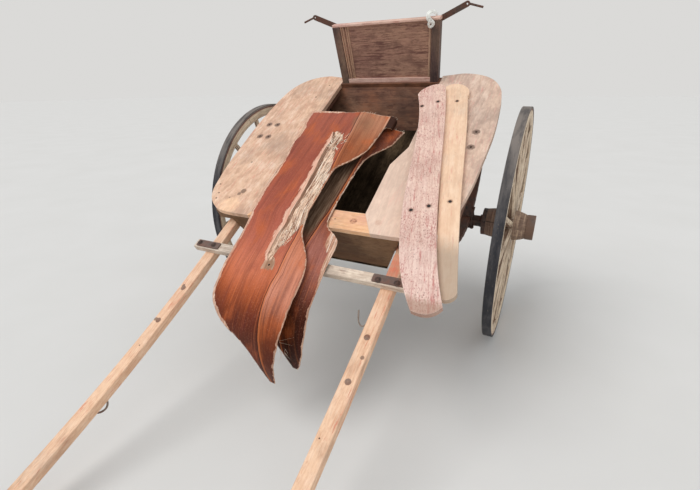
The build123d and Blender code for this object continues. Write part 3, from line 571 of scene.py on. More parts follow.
def spoke_wood(side):
    """Spokes: the same paint, with the grain running out from the nave."""
    s, place, radius, angle, depth = wheel_finish("spoke_wood", side)
    spoke_angle = 2 * math.pi / SPOKES
    number = s.math("FLOOR", angle / spoke_angle + 0.5)
    aside = radius * (angle - number * spoke_angle)
    along = s.join(aside + number * 1.37, radius, depth)
    grain, edges, streak, dirt, paint = wheel_grain(s, along, 0.011, 0.35, (232, 214, 188), (190, 160, 130),
                                                    0.36, 0.08)
    paint = s.coats(
        paint,
        # Painted shade and dirt: the spokes' sides, which look across the axle, are browned in streaks
        (faces_across(s, side) * s.step(streak, 0.35, 0.6, 0.5, 0.92), (106, 76, 58)),
        (s.most(dirt, s.step(radius, 0.2, 0.1)) * 0.65, (112, 84, 66)),
        (grain["Pores"] * 0.5, (98, 76, 62)),
        (edges["Edge"] * 0.75, (248, 234, 208)),
    )
    return s.finish(paint, 0.55 + dirt * 0.2, grain["Height"], 0.0012, 0.6, edges["Normal"])


def nave_wood(side):
    """Naves: weathered brown elm, fluted along its length and split."""
    s, place, radius, angle, depth = wheel_finish("nave_wood", side)
    around = s.join(angle * 0.075, depth, radius)
    grain = s.group(GRAIN, around, 0.006, 1.0, 0.0)
    edges = s.group(EDGE_WEAR, 0.003, place)
    fluting = s.noise(s.join(depth * 160, angle * 0.6), detail=3)
    splits = s.step(s.noise(s.join(angle * 5, depth * 6, 4), detail=3), 0.66, 0.72)
    tone = s.step(fluting * 0.6 + grain["Fibre"] * 0.4, 0.38, 0.62)
    paint = s.coats(
        s.mix(tone, (186, 158, 132), (118, 92, 76)),
        (patches(s, around, 0.4, 0.07) * 0.5, (92, 72, 62)),
        (s.step(depth, 0.02, -0.05) * 0.6, (88, 62, 52)),
        (splits, (34, 24, 20)),
        (edges["Edge"] * 0.35, (176, 142, 116)),
    )
    height = fluting * 1.3 + grain["Fibre"] * 0.6 - splits * 1.5
    return s.finish(paint, 0.72, height, 0.0022, 0.7, edges["Normal"])


def tyre_rubber(side):
    """Tyres: old hard rubber, dark, scuffed and dusty, paler where it has worn."""
    s, place, radius, angle, depth = wheel_finish("tyre_rubber", side)
    along = s.join(angle * 0.6, depth, radius)
    edges = s.group(EDGE_WEAR, 0.004, place)
    worn = s.noise(along, (7, 30, 30), 5, 0.62)
    fine = s.noise(along, 330, 4)
    top = s.step(s.split(s.node("TexCoord")[3])[2], 0.75, 1.15)
    paint = s.coats(
        s.mix(s.step(worn, 0.42, 0.66), (38, 39, 46), (84, 82, 84)),
        (fine * 0.5, (30, 29, 32)),
        (top * s.step(worn, 0.3, 0.6, 0.2, 0.85), (132, 122, 114)),
        (s.step(s.noise(along, (60, 160, 160), 4, 0.7), 0.6, 0.68) * 0.55, (140, 126, 112)),
        (s.step(s.noise(along, 90, 5, 0.7), 0.66, 0.71) * 0.7, (186, 174, 158)),
        (edges["Edge"] * 0.25, (128, 120, 112)),
    )
    return s.finish(paint, 0.6 + worn * 0.25, worn + fine * 0.4, 0.0012, 0.6, edges["Normal"])


for side in ("left", "right"):
    use(felloe_wood(side), f"felloes_{side}")
    use(spoke_wood(side), f"spokes_{side}")
    use(nave_wood(side), f"nave_{side}")
    use(tyre_rubber(side), f"tyre_{side}")


def new_piece(name, mesh, *materials):
    """A new object from a bmesh, with its materials."""
    bmesh.ops.recalc_face_normals(mesh, faces=mesh.faces)
    data = bpy.data.meshes.new(name)
    mesh.to_mesh(data)
    mesh.free()
    for material in materials:
        data.materials.append(material)
    piece = bpy.data.objects.new(name, data)
    bpy.context.scene.collection.objects.link(piece)
    return piece


def finish_piece(name, mesh, material):
    """A new piece of the cart, with its finish."""
    piece = new_piece(name, mesh, material)
    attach(piece, "cart")
    return piece


# Bent panels that lie over the footwell, drawn again as fine meshes with ragged edges

SHEET_STEP = 0.006
SHEET_WIDTH = 0.5


def smooth_line(points, steps=14):
    """A smooth line through points."""
    given = [Vector((*point, 0.0)) for point in points]
    given = [2 * given[0] - given[1], *given, 2 * given[-1] - given[-2]]
    line = []
    for before, start, end, after in zip(given, given[1:], given[2:], given[3:]):
        length = (end - start).length
        lead = (end - before) * (length / ((end - before).length or 1.0))
        trail = (after - start) * (length / ((after - start).length or 1.0))
        for step in range(steps):
            share = step / steps
            cube, square = share ** 3, share ** 2
            line.append((2 * cube - 3 * square + 1) * start + (cube - 2 * square + share) * lead
                        + (3 * square - 2 * cube) * end + (cube - square) * trail)
    line.append(given[-2])
    return np.array(line)[:, :2]


def path_lengths(line):
    """How far each point of a line lies along it."""
    return np.r_[0.0, np.cumsum(np.linalg.norm(np.diff(line, axis=0), axis=1))]


def table(points, value):
    """The second number of a list of pairs at a value of the first."""
    pairs = np.array(points)
    return np.interp(value, pairs[:, 0], pairs[:, 1])


def rough_noise(first, second, third, detail=3):
    """Noise between about -1 and 1 over arrays of places."""
    places = np.stack(np.broadcast_arrays(first, second, third), -1).reshape(-1, 3)
    values = [noise.fractal(place, 0.9, 2.1, detail) for place in places]
    return np.array(values).reshape(np.broadcast(first, second).shape)


class BentSheet:
    """A bent panel as a grid: x across the cart, and along the bend from its rear edge to its front tip.

    Its slopes fall away to the left and right of the fold, which is an x and a height. fall is its profile
    beyond flat_end. The edges are (ahead, x), or (x, along) at the rear. trim moves the left edge inward,
    torn is (along, left x, right x) of the torn strip and groove is (along, x) of the scored line.
    """

    def __init__(self, name, fold, rear, flat_end, fall, slopes, left_edge, right_edge, rear_edge, trim,
                 torn, groove, curl=None):
        self.name = name
        self.fold = fold
        self.slopes = [math.tan(math.radians(slope)) for slope in slopes]
        bend = smooth_line([(flat_end - 0.02, fold[1]), (flat_end, fold[1]), *fall])
        line = np.vstack([[rear, fold[1]], bend])
        steps = np.linalg.norm(np.diff(line, axis=0), axis=1)
        self.line = line[np.r_[True, steps > 1e-7]]
        self.along = rear + path_lengths(self.line)
        self.make_grid(smooth_line(left_edge), smooth_line(right_edge), rear_edge, trim)
        if curl:
            self.roll(*curl)
        self.measure(torn, groove)

    def place(self, x, along):
        """Level places on the sheet's upper face."""
        ahead = np.interp(along, self.along, self.line[:, 0])
        height = np.interp(along, self.along, self.line[:, 1])
        away = x - self.fold[0]
        height = height - np.where(away < 0, self.slopes[0], self.slopes[1]) * np.abs(away)
        return np.stack([x, -ahead, height], -1)

    def make_grid(self, left_edge, right_edge, rear_edge, trim):
        rows = int((self.along[-1] - self.along[0]) / SHEET_STEP)
        columns = int(SHEET_WIDTH / SHEET_STEP)
        share = np.linspace(0.0, 1.0, rows)[:, None]
        u = np.linspace(0.0, 1.0, columns)[None, :]
        x = np.zeros((rows, columns)) + self.fold[0]
        for _ in range(6):
            start = table(rear_edge, x)
            along = start + (self.along[-1] - start) * share
            ahead = np.interp(along, self.along, self.line[:, 0])
            left = np.interp(ahead, left_edge[:, 0], left_edge[:, 1]) + table(trim, along)
            right = np.interp(ahead, right_edge[:, 0], right_edge[:, 1])
            x = left + (right - left) * u
        # Ragged edges: the outline wanders by a few millimetres, less and less away from it
        level = along[:, :1] * 0
        rag_left = rough_noise(along[:, :1] * 24, level + 3.1, level + 1.7)
        rag_right = rough_noise(along[:, -1:] * 24, level + 8.4, level + 5.2)
        near_left = np.clip(1 - u / 0.08, 0, 1)
        near_right = np.clip(1 - (1 - u) / 0.08, 0, 1)
        rag_left = 0.004 * np.clip(rag_left, -0.2, 1) * near_left
        x = x + rag_left - 0.0022 * np.clip(rag_right, -0.3, 1) * near_right
        rag_rear = rough_noise(x[:1] * 30, x[:1] * 0 + 2.2, x[:1] * 0 + 4.4)
        along = along + 0.0024 * np.clip(rag_rear, -0.2, 1) * np.clip(1 - share / 0.02, 0, 1)
        self.x, self.t = x, along
        self.top = self.place(x, along)

    def roll(self, line_x, flat_from, radius):
        """The rear corner has curled: past the curl's line the sheet turns down and under itself."""
        amount = np.clip((flat_from - self.t) / 0.03, 0.02, 1.0)
        past = np.maximum(self.x - line_x, 0.0)
        bend = radius / amount
        turn = past / bend
        slope = math.atan(self.slopes[1])
        out = bend * np.sin(turn) - past
        rise = -bend * (1.0 - np.cos(turn))
        self.top[..., 0] += out * math.cos(slope) + rise * math.sin(slope)
        self.top[..., 2] += -out * math.sin(slope) + rise * math.cos(slope)

    def measure(self, torn, groove):
        """How far each point lies from the edge, the torn strip and the scored line, and the way out."""
        rim = np.concatenate([self.top[0], self.top[:, -1], self.top[-1], self.top[:, 0]])
        tree = kdtree.KDTree(len(rim))
        for number, point in enumerate(rim):
            tree.insert(point, number)
        tree.balance()
        away = [tree.find(point)[2] for point in self.top.reshape(-1, 3)]
        self.edge = np.array(away).reshape(self.x.shape)
        normal = np.cross(np.gradient(self.top, axis=0), np.gradient(self.top, axis=1))
        normal /= np.maximum(np.linalg.norm(normal, axis=-1, keepdims=True), 1e-9)
        rows, columns = self.x.shape
        self.normal = -normal if normal[rows // 3, columns // 2, 2] < 0 else normal
        left = table([(a, b) for a, b, c in torn], self.t)
        right = table([(a, c) for a, b, c in torn], self.t)
        self.torn_share = (self.x - left) / np.maximum(right - left, 0.001)
        beside = np.maximum(left - self.x, self.x - right)
        self.torn_away = np.maximum(beside, np.maximum(torn[0][0] - self.t, self.t - torn[-1][0]))
        self.groove_away = self.x - table(groove, self.t)

    def build(self, finishes):
        rows, columns = self.x.shape
        waves = rough_noise(self.x * 7, self.t * 3.2, self.x * 0 + 6.6, 2) * 0.0012
        pits = 0.0012 + 0.0008 * rough_noise(self.x * 90, self.t * 30, self.x * 0, 3)
        hollow = np.clip(-self.torn_away / 0.006, 0, 1) * pits
        thin = np.where(self.x < -0.1, 0.0012, 0.0042) * np.clip(1 - self.edge / 0.016, 0, 1) ** 2
        inner = np.clip(self.edge / 0.02, 0, 1)
        top = self.top + self.normal * ((waves - 0.001) * inner - hollow - thin)[..., None]
        thickness = SHEET - 0.0035 * np.clip((self.t - 0.66) / 0.1, 0, 1)
        bottom = self.top - self.normal * thickness[..., None]
        mesh = bmesh.new()
        bmesh.ops.create_grid(mesh, x_segments=columns - 1, y_segments=rows - 1, size=1.0)
        flat = mesh.verts.layers.float_vector.new("flat")
        marks = mesh.verts.layers.float_vector.new("marks")
        number = mesh.verts.layers.int.new("number")
        share = np.clip(self.torn_share, -1, 2)
        for vert in mesh.verts:
            column = round((vert.co.x + 1) / 2 * (columns - 1))
            row = round((vert.co.y + 1) / 2 * (rows - 1))
            vert.co = LEVEL_TO_PARKED @ Vector(top[row, column])
            vert[flat] = (self.x[row, column], self.t[row, column], share[row, column])
            vert[marks] = [away[row, column] for away in (self.groove_away, self.torn_away, self.edge)]
            vert[number] = row * columns + column
        made = bmesh.ops.extrude_face_region(mesh, geom=mesh.faces[:], use_keep_orig=True)["geom"]
        under = {item for item in made if isinstance(item, bmesh.types.BMVert)}
        for vert in under:
            vert.co = LEVEL_TO_PARKED @ Vector(bottom[divmod(vert[number], columns)])
        for face in mesh.faces:
            below = sum(vert in under for vert in face.verts)
            face.material_index = 0 if below == 0 else 1 if below == len(face.verts) else 2
            face.smooth = face.material_index < 2
        mesh.verts.layers.int.remove(number)
        return new_piece(self.name, mesh, *finishes)


def attribute(s, name):
    """Three numbers that the mesh keeps at each point."""
    return s.split(s.node("Attribute", attribute_type="GEOMETRY", attribute_name=name)[1])


def ramp(s, value, stops, low, high):
    """A smooth run of colours. Stops are (value, colour)."""
    made = s.node("ValToRGB", {0: (value - low) / (high - low)})[0]
    run = made.socket.node.color_ramp
    run.interpolation = "B_SPLINE"
    while len(run.elements) < len(stops):
        run.elements.new(0.5)
    for element, (place, paint) in zip(run.elements, stops):
        element.position = (place - low) / (high - low)
        element.color = (*colour(*paint), 1.0)
    return made


NAIL_HOLES = ((-0.028, 0.902), (-0.022, 0.202))


def varnished(name, main, flange, hollow_end, worn, depth, shine, dull=(), rolled=None):
    """Old varnish over bent ply: rubbed bands, scratches, a scored fold, torn strips and frayed pale edges.

    main and flange are runs of colour along the sheet, on both sides of the fold. worn patches are (x,
    along, half width, half length) and dull ones (x, along, reach). depth darkens the lower end, and rolled
    is the x of a rolled corner.
    """
    s = new_finish(name)
    x, along, share = attribute(s, "flat")
    groove, torn, edge = attribute(s, "marks")
    plane = s.join(x, along)
    tilted = s.join(x, along, x * 0.73 + along * 0.41)
    bands = s.noise(plane, (26, 1.4, 1), 4, 0.6)
    clouds = s.noise(plane, (9, 5, 1))
    fine = s.noise(plane, (240, 7, 1), 4, 0.65)
    strands = s.noise(plane, (120, 3, 1), 5, 0.68)
    mottled = s.noise(tilted, 150, 5, 0.75)
    streaked = s.step(along, 0.75, 1, 0.4, 1)
    # Painted shade: the runs of colour and the darker lower end come sooner near the left edge, where the bulge
    # turns away from the light
    shaded_along = along + s.step(x, -0.17, -0.26) * 0.05
    paint = s.coats(
        ramp(s, shaded_along, main, -0.2, 1.5),
        (s.step(groove, 0, 0.006), ramp(s, along, flange, -0.2, 1.5)),
        (s.step(bands, 0.42, 0.68, 0, 0.42), (96, 36, 24)),
        (s.step(clouds, 0.5, 0.68, 0, 0.55), (198, 98, 46)),
        (s.step(clouds, 0.46, 0.3, 0, 0.35), (120, 46, 40)),
        (s.step(strands, 0.5, 0.62, 0, 0.32) * streaked, (86, 34, 20)),
        (s.step(strands, 0.48, 0.36, 0, 0.28) * streaked, (216, 122, 72)),
        (s.step(fine, 0.5, 0.7, 0, 0.28), (84, 36, 24)),
        (s.step(mottled, 0.54, 0.66, 0, 0.2), (226, 160, 130)),
        (s.step(mottled, 0.46, 0.36, 0, 0.2), (110, 52, 40)),
        (s.step(shaded_along, depth[0], depth[1], 0, depth[2]), depth[3]),
    )
    for grey_x, grey_along, reach in dull:
        away = s.measure("DISTANCE", s.stretch(plane, (1, 0.45, 1)), (grey_x, grey_along * 0.45, 0))
        paint = s.mix(s.step(away + (bands - 0.5) * 0.16, reach, 0, 0, 0.6), paint, (134, 96, 70))
    # Torn wood under the varnish
    bare = s.noise(plane, (130, 9, 1), 5, 0.7)
    stringy = s.noise(plane, (80, 6, 1), 5, 0.7)
    clumps = s.noise(tilted, (62, 20, 30), 5, 0.72)
    long_cracks = s.noise(plane, (170, 3.5, 1), 4, 0.6)
    frays = bare * 0.3 + stringy * 0.3 + clumps * 0.4
    raw = s.coats(
        s.mix(s.step(frays, 0.44, 0.54), (132, 88, 64), (236, 200, 172)),
        (s.step(long_cracks, 0.54, 0.6, 0, 0.75), (112, 74, 56)),
        (s.step(long_cracks, 0.44, 0.38, 0, 0.85), (255, 246, 230)),
        (s.step(clumps, 0.52, 0.62) * s.step(along, 0.6, 0.78, 0, 0.85), (122, 66, 48)),
    )
    if hollow_end:
        # The covered half of the lower sheet never had varnish
        inside = s.step(groove, 0, -0.012) * s.step(along, hollow_end + 0.1, hollow_end)
        paint = s.mix(inside, paint, s.mix(s.step(bare, 0.4, 0.66), (92, 68, 52), (136, 110, 90)))
    # Scratches, chips and pale rubbed specks, then the scored fold: a dark line beside a ridge with a painted
    # orange highlight
    scratch = s.step(s.noise(tilted, (560, 22, 60), 3, 0.8), 0.66, 0.74)
    cross = s.step(s.noise(tilted, (40, 420, 60), 3, 0.8), 0.68, 0.74)
    specks = s.step(s.noise(tilted, 190, 4, 0.7), 0.68, 0.74)
    fold = groove + (s.noise(plane, 30) - 0.5) * 0.004
    score = s.step(abs(fold), 0.0024, 0.0010)
    ridge = s.step(abs(fold - 0.006), 0.005, 0.002)
    second = s.step(abs(fold - 0.021), 0.0022, 0.0008)
    paint = s.coats(
        paint,
        (s.most(s.most(scratch, cross) * 0.4, specks * 0.55), (226, 176, 146)),
        (ridge * 0.5, s.mix(s.step(along, 0.1, 0.4), (206, 140, 112), (208, 118, 66))),
        (second * 0.5, (92, 44, 28)),
        (score * 0.9, (48, 22, 15)),
    )
    # Torn strip: a pale border, raw fibres, and a darker core that ends in torn nail holes
    ragged = ((bare + clumps) * 0.5 - 0.5) * 0.075
    gone = s.step(torn + ragged, 0.001, -0.001)
    sway = (s.noise(s.join(x * 12, along * 9), 1.0, 5, 0.6) - 0.5) * 0.22
    at = share + sway + ragged * 1.2
    core_end = s.step(along, 0.3, 0.62, 0.46, 0.38)
    core = s.step(at, 0.20, 0.22) * s.step(at, core_end, core_end - 0.025)
    core = core * s.step(along, 0.84, 0.7, 0.45, 1) * s.step(clumps, 0.36, 0.46, 0.35, 1)
    border = s.mix(s.step(bare, 0.4, 0.62, 0, 0.6), (214, 160, 136), (244, 208, 184))
    strip = s.coats(
        s.mix(s.step(at, 0.21, 0.19), raw, border),
        (core * 0.92, s.mix(s.step(long_cracks, 0.42, 0.6), (146, 108, 84), (90, 58, 42))),
        (s.step(along, 0.878, 0.886) * 0.7, s.mix(stringy, (206, 170, 142), (140, 106, 84))),
    )
    for nail_x, nail_along in NAIL_HOLES:
        away = s.measure("DISTANCE", plane, (nail_x, nail_along, 0))
        strip = s.coats(
            strip,
            (s.step(away, 0.034, 0.014, 0, 0.75), s.mix(stringy, (178, 132, 102), (110, 74, 54))),
            (s.step(away, 0.0052, 0.0040), (26, 15, 11)),
        )
    paint = s.mix(gone, paint, strip)
    # Worn patches and frayed edges, down to the bare ply
    if worn:
        rubbed = []
        for patch_x, patch_along, half_x, half_along in worn:
            away = s.measure("LENGTH", s.join((x - patch_x) / half_x, (along - patch_along) / half_along))
            rubbed.append(s.step(away + ragged * 14, 1.05, 0.9))
        rubbed = s.most(*rubbed)
        paint = s.mix(rubbed * 0.9, paint, s.mix(0.35, raw, (214, 160, 132)))
        gone = s.most(gone, rubbed)
    broken = (s.noise(plane, 26, 4, 0.7) - 0.42) * 0.022
    wide = s.step(x, -0.10, -0.14) * 0.0085
    frayed = s.step(edge + ragged * 0.2 - (broken + wide), 0.0040, 0.0022)
    paint = s.mix(frayed * 0.8, paint, s.mix(0.45, raw, (236, 190, 164)))
    gone = s.most(gone, frayed)
    if rolled:
        # Painted shade: the rolled corner is painted dark, behind a pale worn crease
        rear = s.step(along, 0.040, 0.028)
        crease = s.step(abs(x - (rolled - 0.002)), 0.0042, 0.0024)
        dark = s.mix(s.step(fine, 0.35, 0.65), (24, 14, 12), (58, 36, 29))
        paint = s.coats(
            paint,
            (s.step(x, rolled, rolled + 0.003) * rear * 0.95, dark),
            (crease * (rear * 0.75), (206, 158, 130)),
        )
    rough = s.most(gone * 0.8, 0.32 + (fine + clouds) * 0.12)
    height = fine * 0.25 + bands * 0.3 + ridge * 0.7 - score * 1.4 + gone * (bare * 2.4 - 1.8)
    return s.finish(paint, rough, height, 0.0016, 0.6, gloss=shine)


def bare_ply(name, pale, dark):
    """Bare torn wood: stringy, dry and rough, with the fibres running along the sheet."""
    s = new_finish(name)
    x, along = attribute(s, "flat")[:2]
    plane = s.join(x, along)
    bare = s.noise(plane, (150, 8, 1), 5, 0.7)
    dust = s.step(s.noise(plane, 24, 5, 0.65), 0.45, 0.7, 0, 0.5)
    paint = s.mix(dust, s.mix(s.step(bare, 0.36, 0.64), dark, pale), s.mix(0.5, dark, (150, 128, 108)))
    return s.finish(paint, 0.85, bare, 0.0016, 0.7)


TORN_PLY = bare_ply("ply_torn", (255, 246, 228), (224, 190, 158))
PLY_RIM = bare_ply("ply_rim", (190, 146, 112), (104, 68, 48))
PLY_BACK = bare_ply("ply_back", (118, 92, 74), (70, 50, 38))


def slivers(name, roots, seed, length, width, lift=0.25, twist=0.35):
    """Splinters of torn wood. Each root is a level place, the way it points and the way out of the sheet."""
    chance = np.random.default_rng(seed)
    mesh = bmesh.new()
    flat = mesh.verts.layers.float_vector.new("flat")
    for place, way, out in roots:
        reach = length * chance.uniform(0.45, 1.2)
        half = width * chance.uniform(0.4, 1.0) / 2
        way = Vector(way).normalized()
        out = Vector(out).normalized()
        side = way.cross(out).normalized()
        way = way + side * chance.uniform(-twist, twist)
        way = (way + out * chance.uniform(-0.3, 1.0) * lift).normalized()
        side = way.cross(out).normalized()
        turn = Matrix((side, way.cross(side), way)).transposed().to_4x4()
        middle = Matrix.Translation(Vector(place) + way * reach * 0.2)
        stand = middle @ turn @ Matrix.Diagonal((1.0, 0.45, 1.0, 1.0))
        made = bmesh.ops.create_cone(mesh, cap_ends=True, segments=4, radius1=half, radius2=half * 0.2,
                                     depth=reach, matrix=LEVEL_TO_PARKED @ stand)["verts"]
        start = float(place[0]) + chance.uniform(-0.01, 0.01)
        for vert in made:
            vert[flat] = (start, (vert.co - made[0].co).length, 0.0)
    finish_piece(name, mesh, TORN_PLY)


def edge_roots(sheet, chance, spacing, smooth_from):
    """Places along a sheet's edges, mostly pointing along the grain. The right edge is clean in front."""
    roots = []
    for side, line, inner, normals in (("left", sheet.top[:, 0], sheet.top[:, 2], sheet.normal[:, 0]),
                                       ("right", sheet.top[:, -1], sheet.top[:, -3], sheet.normal[:, -1]),
                                       ("rear", sheet.top[0], sheet.top[2], sheet.normal[0])):
        distance = path_lengths(line)
        count = int(distance[-1] / spacing)
        for place in np.sort(chance.uniform(0, distance[-1], count)):
            number = min(int(np.searchsorted(distance, place)), len(line) - 2)
            if side == "right" and sheet.t[number, -1] > smooth_from:
                continue
            outward = Vector(line[number] - inner[number])
            along = Vector(line[number + 1] - line[number - 1 if number else 0])
            if outward.length < 1e-6 or along.length < 1e-6:
                continue
            outward.normalize()
            along.normalize()
            way = outward if side == "rear" else along * float(chance.choice([-1, 1])) + outward * 0.25
            out = Vector(normals[number])
            root = Vector(line[number]) - outward * 0.003 - out * float(chance.uniform(0.002, 0.006))
            roots.append((root, way, out))
    return roots


def torn_roots(sheet, chance, count):
    """Places in a sheet's torn strip, pointing along it."""
    rows, columns = np.nonzero((sheet.torn_away < -0.004) & (sheet.torn_share > 0.5) & (sheet.t < 0.8))
    roots = []
    for number in chance.choice(len(rows), count):
        row, column = rows[number], columns[number]
        out = sheet.normal[row, column]
        ahead = Vector(sheet.top[min(row + 1, len(sheet.top) - 1), column] - sheet.top[row - 1, column])
        roots.append((sheet.top[row, column] - out * 0.002, ahead * float(chance.choice([-1, 1])), out))
    return roots


def burst_roots(sheet, chance, count, centre, spread, bias, clear):
    """Places round a torn-out nail, pointing away from it, or towards a bias."""
    roots = []
    for _ in range(count):
        angle = chance.uniform(0, 2 * math.pi)
        reach = math.sqrt(chance.uniform(clear, 1.0))
        x = centre[0] + spread[0] * reach * math.cos(angle)
        along = centre[1] + spread[1] * reach * math.sin(angle)
        way = (math.cos(angle) + bias[0], -(math.sin(angle) + bias[1]), 0.0)
        roots.append((Vector(sheet.place(np.array(x), np.array(along))), way, (0.0, 0.0, 1.0)))
    return roots


upper = BentSheet(
    "panel_bent_upper", (0.035, 0.652), -0.18, 0.640,
    [(0.745, 0.615), (0.900, 0.601), (1.018, 0.578), (1.096, 0.551), (1.157, 0.508), (1.205, 0.432),
     (1.228, 0.365), (1.243, 0.280)],
    (10.96, 20),
    [(-0.136, -0.347), (0.100, -0.335), (0.500, -0.305), (0.800, -0.288), (1.000, -0.274), (1.054, -0.256),
     (1.103, -0.208), (1.139, -0.155), (1.168, -0.088), (1.200, -0.020), (1.250, 0.045)],
    [(-0.077, 0.224), (-0.030, 0.222), (-0.012, 0.212), (0.002, 0.182), (0.018, 0.160), (0.045, 0.152),
     (0.100, 0.147), (0.200, 0.136), (0.307, 0.091), (0.370, 0.055), (0.500, 0.050), (0.650, 0.050),
     (0.730, 0.052), (0.780, 0.080), (0.830, 0.111), (0.900, 0.127), (1.032, 0.125), (1.163, 0.112),
     (1.228, 0.079), (1.250, 0.045)],
    [(-0.347, -0.136), (-0.318, -0.140), (-0.198, -0.107), (-0.057, -0.064), (0.040, -0.046),
     (0.111, -0.058), (0.165, -0.077)],
    [(-0.14, 0.0), (-0.03, 0.0), (0.01, 0.020), (0.09, 0.018), (0.13, 0.002), (0.20, 0.012), (0.27, 0.020),
     (0.37, 0.024), (0.50, 0.012), (0.65, 0.026), (0.78, 0.0), (1.5, 0.0)],
    [(0.096, -0.098, -0.064), (0.130, -0.098, -0.020), (0.178, -0.092, 0.004), (0.212, -0.092, -0.016),
     (0.245, -0.092, -0.010), (0.276, -0.092, 0.004), (0.326, -0.089, 0.022), (0.376, -0.083, 0.032),
     (0.444, -0.075, 0.044), (0.558, -0.062, 0.049), (0.620, -0.066, 0.052), (0.692, -0.072, 0.052),
     (0.746, -0.090, 0.016), (0.800, -0.087, -0.016), (0.856, -0.076, -0.030), (0.884, -0.062, -0.004),
     (0.920, -0.056, 0.002)],
    [(-0.14, 0.002), (0.016, 0.010), (0.104, 0.018), (0.198, 0.022), (0.288, 0.027), (0.374, 0.036),
     (0.490, 0.042), (0.692, 0.036), (0.810, 0.028), (0.932, 0.034), (0.985, 0.024), (1.040, 0.022),
     (1.108, 0.028), (1.164, 0.034), (1.312, 0.038), (1.44, 0.042)],
    curl=(0.163, 0.030, 0.027),
)
lower = BentSheet(
    "panel_bent_lower", (0.100, 0.586), -0.06, 0.640,
    [(0.700, 0.579), (0.830, 0.561), (0.930, 0.544), (1.000, 0.524), (1.060, 0.490), (1.105, 0.443),
     (1.135, 0.388), (1.165, 0.290)],
    (1.13, 15),
    [(-0.040, -0.305), (0.540, -0.305), (0.640, -0.240), (0.700, -0.160), (0.780, -0.125), (0.860, -0.125),
     (0.960, -0.130), (1.060, -0.060), (1.120, 0.040), (1.172, 0.119)],
    [(-0.028, 0.232), (0.090, 0.203), (0.152, 0.164), (0.232, 0.124), (0.400, 0.112), (0.600, 0.110),
     (0.650, 0.122), (0.682, 0.165), (0.705, 0.184), (0.805, 0.184), (0.988, 0.182), (1.079, 0.181),
     (1.138, 0.164), (1.172, 0.119)],
    [(-0.305, -0.040), (0.232, -0.028)],
    [(-0.1, 0.0), (1.5, 0.0)],
    [(-0.90, 0.0, 0.001), (-0.89, 0.0, 0.001)],
    [(-0.06, 0.100), (0.40, 0.096), (0.576, 0.092), (0.672, 0.080), (0.760, 0.064), (0.90, 0.060),
     (1.31, 0.080)],
)
# The upper sheet's runs of colour hold a painted sheen: the bright band about 0.8 to 1.02 along, where the sheet
# bends over
upper_varnish = varnished(
    "sheet_varnish_upper",
    [(-0.15, (166, 88, 68)), (0.30, (160, 78, 54)), (0.60, (166, 82, 62)), (0.80, (182, 98, 76)),
     (0.93, (214, 122, 88)), (1.03, (170, 76, 20)), (1.13, (84, 27, 6)), (1.45, (72, 22, 3))],
    [(-0.15, (196, 140, 110)), (0.04, (186, 128, 96)), (0.16, (160, 94, 60)), (0.30, (150, 84, 48)),
     (0.60, (178, 98, 60)), (0.80, (210, 132, 100)), (1.02, (214, 142, 116)), (1.13, (142, 66, 22)),
     (1.26, (98, 36, 6)), (1.45, (84, 31, 4))],
    None, (), (1.04, 1.22, 0.42, (62, 22, 8)), 0.2, ((0.062, 0.035, 0.050), (0.000, 0.015, 0.024)), 0.152,
)
lower_varnish = varnished(
    "sheet_varnish_lower",
    [(-0.06, (82, 48, 36)), (0.55, (100, 58, 42)), (0.65, (122, 68, 48)), (0.80, (144, 84, 66)),
     (0.95, (76, 30, 13)), (1.08, (38, 13, 4)), (1.30, (26, 9, 3))],
    [(-0.06, (104, 58, 44)), (0.55, (116, 64, 46)), (0.65, (124, 68, 50)), (0.80, (186, 120, 106)),
     (0.95, (98, 44, 22)), (1.08, (52, 19, 5)), (1.30, (32, 12, 4))],
    0.66, ((0.172, 0.70, 0.030, 0.07), (0.180, 0.80, 0.014, 0.10)), (0.92, 1.10, 0.45, (28, 9, 3)), 0.1,
)
chance = np.random.default_rng(41)
for sheet, node, finish, smooth_from in ((upper, "bent_sheet_upper", upper_varnish, 0.62),
                                         (lower, "bent_sheet_lower", lower_varnish, 0.74)):
    piece = sheet.build([finish, PLY_BACK, PLY_RIM])
    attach(piece, "cart")
    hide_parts(node)
    slivers(f"{sheet.name}_frayed_edges", edge_roots(sheet, chance, 0.024, smooth_from), 7, 0.020, 0.0022,
            0.15, 0.15)
slivers("panel_bent_upper_torn_fibres", torn_roots(upper, chance, 110), 8, 0.075, 0.0034, 0.06, 0.07)
burst = burst_roots(upper, chance, 26, (-0.022, 0.190), (0.048, 0.060), (0.0, -0.5), 0.45)
burst += burst_roots(upper, chance, 26, (-0.012, 0.765), (0.030, 0.050), (-0.2, 2.6), 0.05)
slivers("panel_bent_upper_splinters", burst, 9, 0.034, 0.0044, 0.4)
loose = burst_roots(lower, chance, 12, (0.070, 1.190), (0.040, 0.050), (0.4, 0.6), 0.3)
slivers("panel_bent_lower_loose_fibres", loose, 11, 0.060, 0.0024, 0.3)

# Fastenings, mouldings and hooks

UP = (LEVEL_TO_PARKED.to_3x3() @ Vector((0, 0, 1))).normalized()


def lathe(mesh, place, axis, outline, segments=20, turn=0.0):
    """A turned form from (radius, height) points along an axis, closed. Six segments make a nut."""
    side = axis.orthogonal().normalized()
    side.rotate(Matrix.Rotation(turn, 3, axis))
    closed = [(0.0, outline[0][1]), *outline, (0.0, outline[-1][1])]
    line = [mesh.verts.new(place + axis * height + side * radius) for radius, height in closed]
    edges = [mesh.edges.new(pair) for pair in zip(line, line[1:])]
    before = set(mesh.faces)
    bmesh.ops.spin(mesh, geom=line + edges, cent=place, axis=axis, angle=2 * math.pi, steps=segments,
                   use_merge=True)
    made = [face for face in mesh.faces if face not in before]
    for face in made:
        face.smooth = segments > 6
    bmesh.ops.remove_doubles(mesh, verts=list(dict.fromkeys(v for face in made for v in face.verts)),
                             dist=1e-6)


